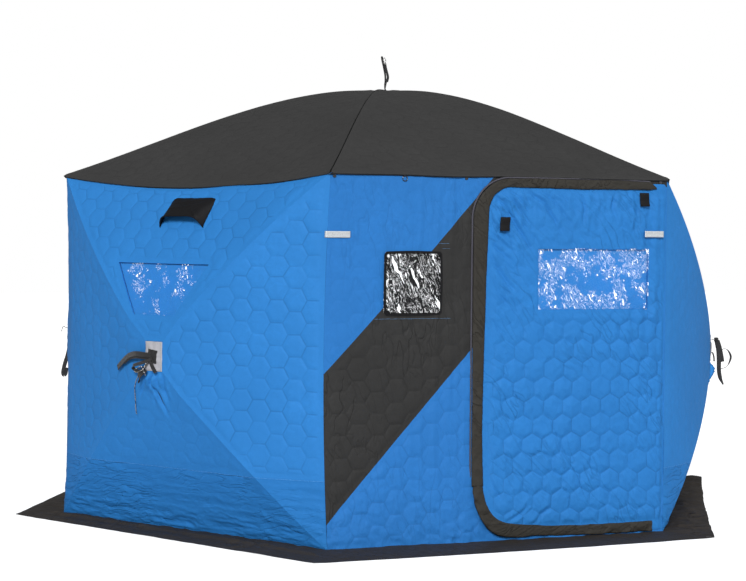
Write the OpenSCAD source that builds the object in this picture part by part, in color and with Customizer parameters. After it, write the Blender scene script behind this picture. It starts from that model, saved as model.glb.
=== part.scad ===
// Six-sided pop-up ice fishing hut: quilted walls pushed out by sprung poles that meet in hubs,
// a flat door wall at the front, a domed roof and a ground skirt.
// The origin is the centre of the floor, +Z is up and the door wall faces -Y.

/* [Shelter] */
// Length of each of the six sides, from corner to corner
side = 1660; // [1500:10:1900]
// Height of the eave at the corners
eave_h = 1640; // [1500:10:1900]
// Height of the roof's peak
peak_h = 2100; // [1950:10:2400]
// How far each roof pole bows above a straight line
roof_bow = 66; // [20:2:80]
// How far the eave dips between the corners of a hub wall
eave_dip = 56; // [20:2:70]

/* [Hub walls] */
// Height of a wall hub above the ground
hub_h = 810; // [700:10:900]
// How far a wall hub stands out from the straight wall
hub_out = 230; // [150:5:280]
// Outward bow of the upper wall poles
upper_bow = 38; // [10:1:50]
// Outward bow of the lower wall poles
lower_bow = 13; // [5:1:30]
// Height of the plain band along the foot of a hub wall
band_h = 295; // [200:5:350]
// Width of the patch over a wall hub
patch_w = 104; // [80:2:130]
// Height of the patch over a wall hub
patch_h = 136; // [100:2:160]

/* [Fabric] */
// Thickness of the quilted walls and door
wall_t = 8; // [4:0.5:12]
// Thickness of the quilted roof
roof_t = 6; // [4:0.5:10]
// Thickness of the ground skirt
skirt_t = 3; // [2:0.5:5]
// Width of the ground skirt
skirt_w = 270; // [180:5:350]
// Thickness of flaps, patches and window covers
flap_t = 2.4; // [1.5:0.1:4]
// Thickness of the clear vinyl panes
pane_t = 1.6; // [1:0.1:2.5]

/* [Door] */
// Left edge of the doorway, from the middle of the front wall
door_left = -115; // [-200:5:0]
// Distance of the doorway's right edge from the front right corner
jamb_w = 15; // [14:1:80]
// Height of the doorway's lower edge
door_foot = 22; // [18:1:60]
// Height of the wall left above the doorway
header_h = 34; // [26:1:80]
// Radius of the doorway's upper left corner
door_top_r = 130; // [80:5:200]
// Radius of the doorway's lower left corner
door_foot_r = 200; // [120:5:260]
// Running gap between the door and everything that stays still
door_gap = 6; // [5:0.5:8]
// How far the storm flap reaches over the wall beside the door
flap_lap = 40; // [20:1:50]
// Width of the storm flap down the door's free side
side_flap_w = 74; // [60:1:90]
// Width of the storm flap along the door's top and foot
edge_flap_w = 38; // [30:1:50]
// How far the storm flap reaches above the doorway
flap_over = 24; // [14:1:30]
// How far the storm flap reaches below the doorway
flap_under = 12; // [6:1:16]
// Distance of the storm flap's right ends from the doorway's right edge
flap_end = 47; // [20:1:80]
// Height at which the side flap ends and the foot flap begins
flap_split_h = 252; // [235:1:400]

/* [Windows] */
// Width of the door's window
door_win_w = 564; // [400:2:600]
// Height of the door's window
door_win_h = 272; // [200:2:320]
// Distance from the doorway's right edge to the door's window
door_win_inset = 85; // [30:1:120]
// Distance from the doorway's upper edge down to the door's window
door_win_drop = 291; // [60:1:400]
// Width of the square window in the front wall
front_win_w = 268; // [200:2:320]
// Height of the square window in the front wall
front_win_h = 272; // [200:2:320]
// Middle of the square window, from the middle of the front wall
front_win_x = -439; // [-500:1:-380]
// Height of the square window's middle
front_win_z = 1155; // [1000:1:1250]
// Width of the square window's frame
front_win_rim = 12; // [8:1:20]
// Radius of the square window's corners
front_win_r = 22; // [12:1:40]
// Upper width of a hub wall's window
wall_win_top = 564; // [400:2:620]
// Lower width of a hub wall's window
wall_win_foot = 254; // [180:2:300]
// How far a hub wall's window stays above the patch over the hub
wall_win_rise = 116; // [80:1:160]
// Height of a hub wall's window
wall_win_h = 236; // [160:2:260]
// Middle of a hub wall's window along its wall
wall_win_u = -32; // [-60:1:60]
// How far a window cover laps over the edge of its window
cover_lap = 18; // [10:1:25]

/* [Vents] */
// Width of a roof-edge vent hood
vent_w = 262; // [200:2:300]
// Distance from the eave down to a vent hood's upper edge
vent_drop = 110; // [90:1:160]
// Height of a vent hood
vent_h = 140; // [110:2:160]
// How far a vent hood stands out in its middle
vent_out = 58; // [40:2:80]
// Middle of a vent hood along its wall
vent_u = 40; // [0:2:80]

/* [Frame] */
// Diameter of the poles
pole_d = 11; // [9:0.5:14]
// Diameter of a wall hub
hub_d = 84; // [70:2:100]
// Depth of a wall hub
hub_depth = 30; // [24:1:40]
// Diameter of the roof hub
roof_hub_d = 110; // [90:2:140]
// Depth of the roof hub
roof_hub_depth = 34; // [26:1:45]
// Radius of the patch over the roof hub, out to its corners
roof_patch_r = 90; // [75:1:120]
// Length of a corner pocket along each wall
pocket_leg = 34; // [24:1:50]
// Height of a corner pocket
pocket_h = 60; // [40:2:80]

/* [Trim] */
// Thickness of the pull straps
strap_t = 3; // [2:0.5:5]
// Length of the reflective tabs
tab_l = 98; // [60:2:120]
// Height of the reflective tabs
tab_h = 28; // [20:1:40]
// Distance from the eave down to the left reflective tab
tab_left_drop = 253; // [100:1:400]
// Distance from the eave down to the right reflective tab
tab_right_drop = 239; // [100:1:280]
// Length of the ties on the door
tie_l = 62; // [30:1:80]
// Width of the ties on the door
tie_w = 47; // [30:1:60]
// Distance from the doorway's upper edge down to the left tie
tie_left_drop = 149; // [120:1:200]
// Distance from the doorway's upper edge down to the right tie
tie_right_drop = 30; // [16:1:120]
// Diameter of the snap studs
snap_d = 15; // [10:0.5:18]
// Diameter of the thin cord at the front left hub
cord_d = 3.2; // [2:0.2:4]

/* [Hidden] */

// Clearances
seat = 0.3;              // between pieces that lie on each other
seam = 0.5;              // half of the width of a sewn seam between two panels
cover_gap = 1;           // between a hub wall and the cover behind its window
pole_gap = 2.2;          // between a wall pole and the wall's inner skin
fold_gap = 0.5;          // between the door's sewn edge, where its cloth folds, and the wall

// The hexagon: a corner is as far from the middle as a side is long
half = side / 2;
apothem = side * cos(30);
wall_top = eave_h - roof_t - seat;
mitre = tan(30);         // how much a wall shortens at each end per unit drawn in

door_right = half - jamb_w;
door_top = wall_top - header_h;
patch_top = hub_h + patch_h / 2;
patch_foot = hub_h - patch_h / 2;
wall_win_z = patch_top + wall_win_rise;
vent_z = wall_top - vent_drop;

// The front, then anticlockwise seen from above
FRONT = 0; FRONT_RIGHT = 1; REAR_RIGHT = 2; REAR = 3; REAR_LEFT = 4; FRONT_LEFT = 5;
HUB_WALLS = [FRONT_RIGHT, REAR_RIGHT, REAR, REAR_LEFT, FRONT_LEFT];
VENT_WALLS = [FRONT_LEFT, REAR_RIGHT];

// Colours
blue = [0.16, 0.46, 0.78];
charcoal = [0.2, 0.2, 0.21];
black = [0.09, 0.09, 0.1];
silver = [0.72, 0.74, 0.76];
clear = [0.8, 0.88, 0.95, 0.4];

// Where the lower creases of a hub wall pass the top of its foot band
band_t = 1 - band_h / patch_foot;
// Rows of a hub wall from its patch (0) to its edge (1)
STEPS = [0, 0.2, 0.4, band_t, 0.8, 1];
// Places across a panel, from one edge (-1) to the other (1)
ACROSS = [-1, -0.5, 0, 0.5, 1];

function mix(a, b, t) = a + (b - a) * t;
function bow(t) = 4 * t * (1 - t);
// A roof pole's bow, fullest about a quarter of the way down from the peak
function dome(t) = 0.25 * bow(t) + 5.7 * t * (1 - t) * (1 - t);
function unit(v) = v / norm(v);

// ---------------------------------------------------------------- general shapes

// Stands the children on one of the six walls: x runs along the wall, -y is outward
module on_wall(k) {
    rotate([0, 0, 60 * k]) children();
}

// Places a flat drawing of a wall (x along, y up) so that its outer face is out beyond the wall
module upright(out, thickness) {
    translate([0, -apothem - out + thickness, 0])
        rotate([90, 0, 0])
            linear_extrude(height = thickness) children();
}

// A closed thin sheet between two grids of points, rows running up and columns left to right
module sheet(outer, inner) {
    rows = len(outer);
    cols = len(outer[0]);
    n = rows * cols;
    rim = concat(
        [for (j = [0:cols - 1]) j],
        [for (i = [1:rows - 1]) i * cols + cols - 1],
        [for (j = [cols - 2:-1:0]) (rows - 1) * cols + j],
        [for (i = [rows - 2:-1:1]) i * cols]
    );
    faces = concat(
        [for (i = [0:rows - 2], j = [0:cols - 2]) let (a = i * cols + j) each
            [[a, a + cols, a + cols + 1], [a, a + cols + 1, a + 1]]],
        [for (i = [0:rows - 2], j = [0:cols - 2]) let (a = n + i * cols + j) each
            [[a, a + cols + 1, a + cols], [a, a + 1, a + cols + 1]]],
        [for (k = [0:len(rim) - 1]) let (a = rim[k], b = rim[(k + 1) % len(rim)]) each
            [[a, b, n + b], [a, n + b, n + a]]]
    );
    polyhedron(points = concat([for (row = outer) each row], [for (row = inner) each row]),
        faces = faces, convexity = 4);
}

// A round tube swept along points; aside is any direction that the route never takes
module tube(route, r, sides, aside) {
    last = len(route) - 1;
    rings = [for (i = [0:last])
        let (along = unit(route[min(i + 1, last)] - route[max(i - 1, 0)]),
             u = unit(cross(along, aside)), v = cross(along, u))
        for (k = [0:sides - 1]) route[i] + r * (cos(360 * k / sides) * u + sin(360 * k / sides) * v)];
    faces = concat(
        [[for (k = [0:sides - 1]) k]],
        [for (i = [0:last - 1], k = [0:sides - 1])
            let (a = i * sides + k, b = i * sides + (k + 1) % sides) each
            [[a, a + sides, b + sides], [a, b + sides, b]]],
        [[for (k = [sides - 1:-1:0]) last * sides + k]]
    );
    polyhedron(points = rings, faces = faces, convexity = 4);
}

// A rectangle with its four corners rounded
module rounded_rect(w, h, r) {
    translate([r - w / 2, r - h / 2]) offset(r = r, $fn = 32) square([w - 2 * r, h - 2 * r]);
}

// ---------------------------------------------------------------- hub walls

// A point of a wall: u along it, w out from the straight wall, z up
function wall_point(u, w, z) = [u, -(apothem + w), z];
// The same point on a skin drawn in by d, mitred at the wall's two ends
function drawn_in(u, w, z, d) = wall_point(u * (half - d * mitre) / half, w - d, z);

// The creases, where the poles run: t goes from the patch to the wall's corner
function crease_u(t) = mix(patch_w / 2, half - seat, t);
function upper_w(t) = mix(hub_out, 0, t) + upper_bow * bow(t);
function lower_w(t) = mix(hub_out, 0, t) + lower_bow * bow(t);
function upper_z(t) = mix(patch_top, wall_top, t);
function lower_z(t) = mix(patch_foot, 0, t);

module skin(grid, d0, d1) {
    sheet([for (row = grid) [for (p = row) drawn_in(p.x, p.y, p.z, d0)]],
        [for (row = grid) [for (p = row) drawn_in(p.x, p.y, p.z, d1)]]);
}

// How far the sagging eave pulls the upper facet down at row t and place s across
function dip(t, s) = eave_dip * pow(t, 4) * (1 - s * s);

upper_facet_rows = [for (t = STEPS) [for (s = ACROSS)
    [s * (crease_u(t) - seam), upper_w(t), upper_z(t) - dip(t, s)]]];

// A point of the right-hand facet at row t, a share s of the way from lower to upper crease
function side_point(t, s) = [crease_u(t), mix(lower_w(t), upper_w(t), s),
    mix(lower_z(t) + seam, upper_z(t) - seam, s)];
function share_at(t, z) = (z - lower_z(t) - seam) / (upper_z(t) - lower_z(t) - 2 * seam);
function side_foot(t) = t <= band_t ? 0 : share_at(t, band_h + seam);

module side_facet() {
    skin([for (i = [0:2]) [for (t = STEPS) side_point(t, mix(side_foot(t), 1, i / 2))]], 0, wall_t);
}

// The lower facet between rows t0, nearer the floor, and t1
module lower_facet(t0, t1) {
    rows = concat([t0], [for (i = [len(STEPS) - 1:-1:0]) if (STEPS[i] < t0 && STEPS[i] > t1) STEPS[i]], [t1]);
    skin([for (t = rows) [for (s = [-1, 0, 1])
        [s * (crease_u(t) - seam), lower_w(t), lower_z(t)]]], 0, wall_t);
}

// The corner of the side facet below the top of the foot band
module foot_corner() {
    start = band_t + 0.01;
    skin([for (i = [0:1]) [for (t = [start, 0.8, 1])
        side_point(t, i * share_at(t, band_h - seam))]], 0, wall_t);
}

module foot_band() {
    lower_facet(1, band_t + seam / hub_h);
    foot_corner();
    mirror([1, 0, 0]) foot_corner();
}

// A hub wall window's half width at height z
function window_half(z) = mix(wall_win_foot, wall_win_top, (z - wall_win_z) / wall_win_h) / 2;
// How far out the upper facet lies at row t, between the rows it is made of
function facet_row_w(t) = lookup(t, [for (r = STEPS) [r, upper_w(r)]]);

// A sheet along a hub wall's window, drawn in from the wall's outer skin; where it laps past the
// window it stops short of the poles
module window_sheet(margin, drawn, thickness) {
    facet_h = wall_top - patch_top;
    foot_t = (wall_win_rise + margin) / facet_h;
    top_t = (wall_win_rise + wall_win_h - margin) / facet_h;
    levels = concat([foot_t], [for (t = STEPS) if (t > foot_t && t < top_t) t], [top_t]);
    skin([for (t = levels) [for (s = ACROSS)
        let (limit = crease_u(t) - pole_d - seam,
             wanted = wall_win_u + s * (window_half(upper_z(t)) - margin * 1.3),
             u = max(-limit, min(limit, wanted)))
        [u, facet_row_w(t), upper_z(t) - dip(t, u / crease_u(t))]]], drawn, drawn + thickness);
}

// The hole behind a vent hood
module vent_outline() {
    translate([vent_u - vent_w / 3, vent_z - vent_h * 0.75]) square([vent_w * 2 / 3, vent_h / 2]);
}

module hub_wall(k) {
    color(blue) on_wall(k) {
        difference() {
            skin(upper_facet_rows, 0, wall_t);
            window_sheet(0, -wall_t, 3 * wall_t);
            if (len(search(k, VENT_WALLS)) > 0) upright(hub_out * 2, hub_out * 4) vent_outline();
        }
        side_facet();
        mirror([1, 0, 0]) side_facet();
        lower_facet(band_t - seam / hub_h, 0);
        foot_band();
    }
}

module wall_window_panes() {
    color(clear) for (k = HUB_WALLS) on_wall(k) window_sheet(seat * 2, wall_t / 2, pane_t);
}

module wall_window_covers() {
    color(blue) for (k = HUB_WALLS) on_wall(k) window_sheet(-cover_lap, wall_t + cover_gap, flap_t);
}

// ---------------------------------------------------------------- front wall

// The black panel crosses the wall between two parallel seams
diagonal_rise = 1.12;
diagonal_upper = wall_top - 73;          // where its upper seam meets the doorway's side
diagonal_lower = diagonal_upper - 653;   // where its lower seam meets the doorway's side
function seam_z(at_door, x) = at_door + (x - door_left) * diagonal_rise;

// The doorway, D-shaped, grown by so much all round or by another amount at its sewn side
module doorway_outline(grow, grow_sewn) {
    x0 = door_left - grow;
    x1 = door_right + (is_undef(grow_sewn) ? grow : grow_sewn);
    z0 = door_foot - grow;
    z1 = door_top + grow;
    top_r = door_top_r + grow;
    foot_r = door_foot_r + grow;
    polygon(concat(
        [[x1, z0], [x1, z1]],
        [for (a = [90:10:180]) [x0 + top_r + top_r * cos(a), z1 - top_r + top_r * sin(a)]],
        [for (a = [180:10:270]) [x0 + foot_r + foot_r * cos(a), z0 + foot_r + foot_r * sin(a)]]
    ));
}

module front_window_hole() {
    translate([front_win_x, front_win_z]) rounded_rect(front_win_w, front_win_h, front_win_r);
}

// The wall's ends are mitred, so that it meets the walls beside it edge to edge
module front_wall_solid() {
    intersection() {
        upright(0, wall_t) children();
        linear_extrude(height = eave_h)
            polygon([[-half + seat, -apothem], [half - seat, -apothem], [0, -apothem + half / mitre]]);
    }
}

module front_wall_upper() {
    color(blue) front_wall_solid() difference() {
        polygon([[-half, seam_z(diagonal_upper, -half)], [door_left, diagonal_upper],
            [door_left, wall_top], [-half, wall_top]]);
        front_window_hole();
    }
}

module front_wall_diagonal() {
    color(charcoal) front_wall_solid() difference() {
        polygon([[-half, seam_z(diagonal_upper, -half)], [-half, seam_z(diagonal_lower, -half)],
            [door_left, diagonal_lower], [door_left, diagonal_upper]]);
        front_window_hole();
    }
}

module front_wall_lower() {
    color(blue) front_wall_solid() intersection() {
        polygon([[-half, -side], [door_left, -side], [door_left, diagonal_lower],
            [-half, seam_z(diagonal_lower, -half)]]);
        translate([-half, 0]) square([side, wall_top]);
    }
}

// Over the doorway, with the fillet of its upper left corner
module front_wall_header() {
    color(charcoal) front_wall_solid() difference() {
        translate([door_left, door_top - door_top_r])
            square([half - door_left, wall_top - door_top + door_top_r]);
        doorway_outline(0);
        translate([door_right, 0]) square([jamb_w, door_top]);
    }
}

module front_wall_jamb() {
    color(blue) front_wall_solid() translate([door_right, 0]) square([jamb_w, door_top]);
}

// Under the doorway, with the fillet of its lower left corner
module front_wall_sill() {
    color(blue) front_wall_solid() difference() {
        translate([door_left, 0]) square([door_right - door_left, door_foot + door_foot_r]);
        doorway_outline(0);
    }
}

module front_window_pane() {
    color(clear) upright(-wall_t / 2, pane_t) translate([front_win_x, front_win_z])
        rounded_rect(front_win_w - 2 * seat, front_win_h - 2 * seat, front_win_r - seat);
}

module front_window_frame() {
    color(black) upright(flap_t + seat, flap_t) translate([front_win_x, front_win_z]) difference() {
        rounded_rect(front_win_w + front_win_rim, front_win_h + front_win_rim,
            front_win_r + front_win_rim / 2);
        rounded_rect(front_win_w - front_win_rim, front_win_h - front_win_rim,
            front_win_r - front_win_rim / 2);
    }
}

module front_window_cover() {
    color(black) upright(-wall_t - seat, flap_t) translate([front_win_x, front_win_z])
        rounded_rect(front_win_w + 2 * cover_lap, front_win_h + 2 * cover_lap, front_win_r);
}

// ---------------------------------------------------------------- roof

function ridge_r(t) = mix(roof_patch_r, side, t);
function ridge_z(t) = mix(peak_h, eave_h, t) + roof_bow * dome(t);

function gore_point(t, s, dip_depth, drop) =
    [s * (ridge_r(t) / 2 - seat), -ridge_r(t) * cos(30),
        ridge_z(t) - dip_depth * pow(t, 4) * (1 - s * s) - drop];

module gore(k) {
    depth = k == FRONT ? 0 : eave_dip;
    rows = [1, 0.82, 0.62, 0.42, 0.24, 0.1, 0];
    color(charcoal) on_wall(k)
        sheet([for (t = rows) [for (s = ACROSS) gore_point(t, s, depth, 0)]],
            [for (t = rows) [for (s = ACROSS) gore_point(t, s, depth, roof_t)]]);
}

// The six-sided patch that closes the roof over its hub
module roof_patch() {
    color(silver) translate([0, 0, peak_h - roof_t])
        cylinder(h = roof_t, r = roof_patch_r - 2 * seat, $fn = 6);
}

module roof_hub() {
    color(black) translate([0, 0, peak_h - roof_t - seat - roof_hub_depth])
        cylinder(h = roof_hub_depth, d = roof_hub_d, $fn = 48);
}

module roof_poles() {
    drop = roof_t + pole_d / 2 + 4;      // from the roof's outer skin to a pole's middle
    inner = roof_hub_d / 2 + seat;
    reach = 0.965;                       // a pole ends this far along its ridge
    top = peak_h - drop - 4;             // a pole leaves the hub level
    color(black) for (k = [0:5]) rotate([0, 0, 60 * k])
        tube(concat([[inner, 0, top], [inner + pole_d, 0, top]],
            [for (t = [0.06, 0.16, 0.3, 0.46, 0.64, 0.82, reach])
                [ridge_r(t), 0, ridge_z(t) - drop]]), pole_d / 2, 8, [0, 1, 0]);
}

// ---------------------------------------------------------------- poles and hubs of the walls

pole_in = wall_t + pole_d / 2 + pole_gap;     // from the wall's outer skin to a pole's middle

module wall_hubs() {
    color(black) for (k = HUB_WALLS) on_wall(k)
        translate([0, -(apothem + hub_out - wall_t - seat), hub_h])
            rotate([-90, 0, 0]) cylinder(h = hub_depth, d = hub_d, $fn = 48);
}

// One pole from the hub to a corner: sx picks left or right, up the upper or lower one
module wall_pole(sx, up) {
    reach = (half - pocket_leg - pole_d - crease_u(0)) / (crease_u(1) - crease_u(0));
    toward = unit([patch_w / 2, 0, (up ? 1 : -1) * patch_h / 2]);
    start = toward * (hub_d / 2 + 2 * seat);
    route = concat([wall_point(start.x, hub_out - pole_in, hub_h + start.z)],
        [for (t = [0, 0.2, 0.4, 0.6, 0.8, reach])
            up ? drawn_in(crease_u(t), upper_w(t), upper_z(t), pole_in)
               : drawn_in(crease_u(t), lower_w(t), lower_z(t), pole_in)]);
    tube([for (p = route) [sx * p.x, p.y, p.z]], pole_d / 2, 8, [0, 1, 0]);
}

module wall_poles() {
    color(black) for (k = HUB_WALLS, sx = [-1, 1], up = [false, true]) on_wall(k) wall_pole(sx, up);
}

// Pockets that hold the pole ends in the six corners, at the floor and under the eave
module corner_pockets() {
    tip = side - (wall_t + seat) / cos(30);
    color(black) for (k = [0:5], z = [0, wall_top - 24 - pocket_h])
        rotate([0, 0, 60 * k]) translate([tip, 0, z]) linear_extrude(height = pocket_h)
            polygon([[0, 0], [-pocket_leg / 2, pocket_leg * cos(30)],
                [-pocket_leg / 2, -pocket_leg * cos(30)]]);
}

module hub_patches() {
    color(silver) for (k = HUB_WALLS) on_wall(k) upright(hub_out, wall_t)
        translate([-patch_w / 2 + 2 * seat, patch_foot + 2 * seat])
            square([patch_w - 4 * seat, patch_h - 4 * seat]);
}

// ---------------------------------------------------------------- skirt

module skirt() {
    // the hub walls already lean out by this much at the height of the skirt's upper face
    lean = skirt_t * (hub_out + 4 * lower_bow) / patch_foot;
    near = apothem + lean + seat;
    edge = apothem + skirt_w;
    color(charcoal) for (k = [0:5]) on_wall(k) linear_extrude(height = skirt_t)
        polygon([[-near * mitre + seam, -near], [near * mitre - seam, -near],
            [edge * mitre - seam, -edge], [-edge * mitre + seam, -edge]]);
}

// ---------------------------------------------------------------- vents

// A hood sewn to the wall along its top and lower corners, held open in the middle
module vent_hood() {
    rise = 44;           // how far its free edge arches up in the middle
    facet_h = wall_top - patch_top;
    top_t = (vent_z + eave_dip * 0.5 - patch_top) / facet_h;
    grid = [for (v = [0, 0.5, 1]) [for (s = ACROSS)
        let (u = vent_u + s * vent_w / 2,
             t = top_t - (vent_h * (1 - v) - rise * (1 - v) * (1 - s * s)) / facet_h,
             lift = vent_out * (1 - v) * (1 - s * s) + 4 * seat)
        [u, facet_row_w(t) + lift, upper_z(t) - dip(t, u / crease_u(t))]]];
    sheet([for (row = grid) [for (p = row) wall_point(p.x, p.y + flap_t, p.z)]],
        [for (row = grid) [for (p = row) wall_point(p.x, p.y, p.z)]]);
}

module vent_hoods() {
    color(black) for (k = VENT_WALLS) on_wall(k) vent_hood();
}

// ---------------------------------------------------------------- straps, cord and trim

// A strap that hangs from its grip, drawn from the side: x out from the patch, y from the hub
module hanging_strap() {
    rotate([90, 0, -90]) translate([0, 0, -strap_t / 2]) linear_extrude(height = strap_t)
        polygon([[18, 26], [36, 28], [52, -4], [66, -72], [74, -150], [78, -178],
            [64, -160], [52, -110], [42, -60], [28, -4]]);
    rotate([90, 0, 0]) translate([0, 14, seat]) cylinder(h = 30, d = 16, $fn = 32);
}

// The strap that lies to the left across the wall: x along the wall, y from the hub
module lying_strap() {
    translate([0, -18, 0]) rotate([90, 0, 0]) linear_extrude(height = strap_t)
        polygon([[14, 16], [-60, 22], [-120, 14], [-180, -14], [-244, -62],
            [-228, -84], [-166, -40], [-110, -14], [-56, -6], [14, -12]]);
    rotate([90, 0, 0]) translate([0, 0, seat]) cylinder(h = 20, d = 16, $fn = 32);
}

module wall_pull_straps() {
    color(black) for (k = HUB_WALLS) on_wall(k) translate([0, -(apothem + hub_out), hub_h])
        if (k == FRONT_LEFT || k == REAR) lying_strap();
        else hanging_strap();
}

// A doubled strap that stands up from the roof patch, leaning to the left
module roof_pull_strap() {
    color(black) translate([0, strap_t / 2, peak_h + seat]) rotate([90, 0, 0])
        linear_extrude(height = strap_t)
            polygon([[-12, 0], [10, 0], [15, 50], [22, 88], [12, 130], [4, 178],
                [-22, 180], [-16, 130], [-4, 88], [-10, 50]]);
}

// The thin cord's route beside the front left hub: along the wall, out from it and up
CORD_ROUTE = [
    [-4.6, 240, 802.6], [-18, 239, 787], [-34, 238, 771], [-52, 236, 756], [-70, 233, 742],
    [-87, 230, 728], [-102, 227, 714], [-115, 223, 699], [-125, 219.5, 684], [-132, 216, 668],
    [-137, 212, 652], [-140, 208, 636], [-142, 204, 619], [-144, 200, 602], [-147, 196, 585],
    [-150, 192, 568], [-152, 188, 552], [-152, 184, 538]
];

module hub_cord() {
    color(black) on_wall(FRONT_LEFT)
        tube([for (p = CORD_ROUTE) wall_point(p.x, p.y, p.z)], cord_d / 2, 8, [0, 1, 0]);
}

// A reflective tab at the wall's left corner, and one on the door beside its right corner
module reflector() {
    color(silver) upright(flap_t + seat, flap_t)
        translate([-half + 2, wall_top - tab_left_drop - tab_h]) square([tab_l, tab_h]);
}

module door_reflector() {
    color(silver) upright(door_out + flap_t + seat, flap_t)
        translate([door_right - tab_l - door_gap, wall_top - tab_right_drop - tab_h])
            square([tab_l, tab_h]);
}

module eave_snaps() {
    stud_h = 4;
    color(silver) for (x = [-half + 16, door_left - flap_lap - 34, half - 36])
        translate([x, -apothem - seat, wall_top - 14]) rotate([90, 0, 0])
            cylinder(h = stud_h, d = snap_d, $fn = 32);
}

module eave_ring() {
    wire_d = 4;
    ring_r = 11;         // to the middle of the wire
    color(silver) translate([-484, -apothem - seat - wire_d / 2, wall_top - 20]) rotate([90, 0, 0])
        rotate_extrude($fn = 40) translate([ring_r, 0]) circle(d = wire_d, $fn = 20);
}

// ---------------------------------------------------------------- door

door_out = door_gap;                     // the door's outer face, out from the wall's

module door_window_outline(margin) {
    translate([door_right - door_win_inset - door_win_w, door_top - door_win_drop - door_win_h])
        translate([margin, margin]) square([door_win_w - 2 * margin, door_win_h - 2 * margin]);
}

module door_panel() {
    color(blue) upright(door_out, wall_t) difference() {
        doorway_outline(-door_gap, -fold_gap);
        door_window_outline(0);
    }
}

module door_window_pane() {
    color(clear) upright(door_out - wall_t / 2, pane_t) door_window_outline(seat);
}

module door_window_cover() {
    color(blue) upright(door_out - wall_t - seat, flap_t) door_window_outline(-cover_lap);
}

// The storm flap: a band over the door's zipped edge that laps over the wall
flap_left = door_left - flap_lap;
flap_foot = door_foot - flap_under;
flap_top = door_top + flap_over;

module storm_flap_outline() {
    difference() {
        intersection() {
            doorway_outline(flap_lap);
            translate([flap_left, flap_foot])
                square([door_right - flap_end - flap_left, flap_top - flap_foot]);
        }
        translate([flap_left + side_flap_w, flap_foot + edge_flap_w])
            square([side, flap_top - flap_foot - 2 * edge_flap_w]);
    }
}

// Rounds the corner between the band's side and its top or foot
module flap_inner_corner() {
    x = flap_left + side_flap_w;
    z0 = flap_foot + edge_flap_w;
    z1 = flap_top - edge_flap_w;
    r = door_top_r - 20;
    for (top = [false, true]) difference() {
        translate([x, top ? z1 - r : z0]) square([r, r]);
        translate([x + r, top ? z1 - r : z0 + r]) circle(r = r, $fn = 60);
    }
}

module storm_flap() {
    storm_flap_outline();
    flap_inner_corner();
}

module door_side_flap() {
    color(charcoal) upright(door_out + flap_t + seat, flap_t) intersection() {
        storm_flap();
        translate([-side, flap_split_h + seam]) square([2 * side, eave_h]);
    }
}

module door_foot_flap() {
    color(charcoal) upright(door_out + flap_t + seat, flap_t) intersection() {
        storm_flap();
        translate([-side, -eave_h]) square([2 * side, eave_h + flap_split_h]);
    }
}

module door_ties() {
    color(black) upright(door_out + flap_t + seat, flap_t) {
        translate([door_left + 88, door_top - tie_left_drop - tie_l]) square([tie_w, tie_l]);
        translate([door_right - 139, door_top - tie_right_drop - tie_l]) square([tie_w, tie_l]);
    }
}

// ---------------------------------------------------------------- the nodes

front_wall_upper();
front_wall_diagonal();
front_wall_lower();
front_wall_header();
front_wall_jamb();
front_wall_sill();
hub_wall(FRONT_RIGHT);  // wall_front_right
hub_wall(REAR_RIGHT);  // wall_rear_right
hub_wall(REAR);  // wall_rear
hub_wall(REAR_LEFT);  // wall_rear_left
hub_wall(FRONT_LEFT);  // wall_front_left
gore(FRONT);  // roof_front
gore(FRONT_RIGHT);  // roof_front_right
gore(REAR_RIGHT);  // roof_rear_right
gore(REAR);  // roof_rear
gore(REAR_LEFT);  // roof_rear_left
gore(FRONT_LEFT);  // roof_front_left
roof_patch();
roof_hub();
roof_poles();
wall_hubs();
wall_poles();
corner_pockets();
hub_patches();
skirt();
wall_window_panes();
wall_window_covers();
vent_hoods();
front_window_pane();
front_window_frame();
front_window_cover();
wall_pull_straps();
roof_pull_strap();
hub_cord();
reflector();
eave_snaps();
eave_ring();
door_panel();
door_window_pane();
door_window_cover();
door_side_flap();
door_foot_flap();
door_ties();
door_reflector();
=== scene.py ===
# Looks of the six-sided pop-up ice fishing hut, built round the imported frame. All lengths are in metres.
import math

import bpy
import numpy as np
from mathutils import Matrix, Vector
from mathutils.geometry import delaunay_2d_cdt


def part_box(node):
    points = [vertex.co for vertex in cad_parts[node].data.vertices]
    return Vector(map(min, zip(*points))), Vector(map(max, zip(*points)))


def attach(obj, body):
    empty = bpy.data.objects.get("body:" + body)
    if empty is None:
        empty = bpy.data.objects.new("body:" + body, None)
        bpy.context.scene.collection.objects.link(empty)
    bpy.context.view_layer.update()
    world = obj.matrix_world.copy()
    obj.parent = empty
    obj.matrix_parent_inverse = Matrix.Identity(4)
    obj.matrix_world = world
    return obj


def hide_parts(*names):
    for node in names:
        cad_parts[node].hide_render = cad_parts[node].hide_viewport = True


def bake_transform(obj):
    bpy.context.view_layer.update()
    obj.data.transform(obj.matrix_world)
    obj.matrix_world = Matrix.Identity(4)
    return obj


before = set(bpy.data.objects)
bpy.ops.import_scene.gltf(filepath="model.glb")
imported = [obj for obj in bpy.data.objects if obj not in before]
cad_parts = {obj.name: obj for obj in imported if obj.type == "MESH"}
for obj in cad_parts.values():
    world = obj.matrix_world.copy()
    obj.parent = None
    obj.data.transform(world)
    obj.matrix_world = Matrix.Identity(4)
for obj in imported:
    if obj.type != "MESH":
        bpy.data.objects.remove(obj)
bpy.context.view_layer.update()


# ---------------------------------------------------------------- sizes, from the frame

def low(node):
    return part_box(node)[0]


def high(node):
    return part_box(node)[1]


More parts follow.
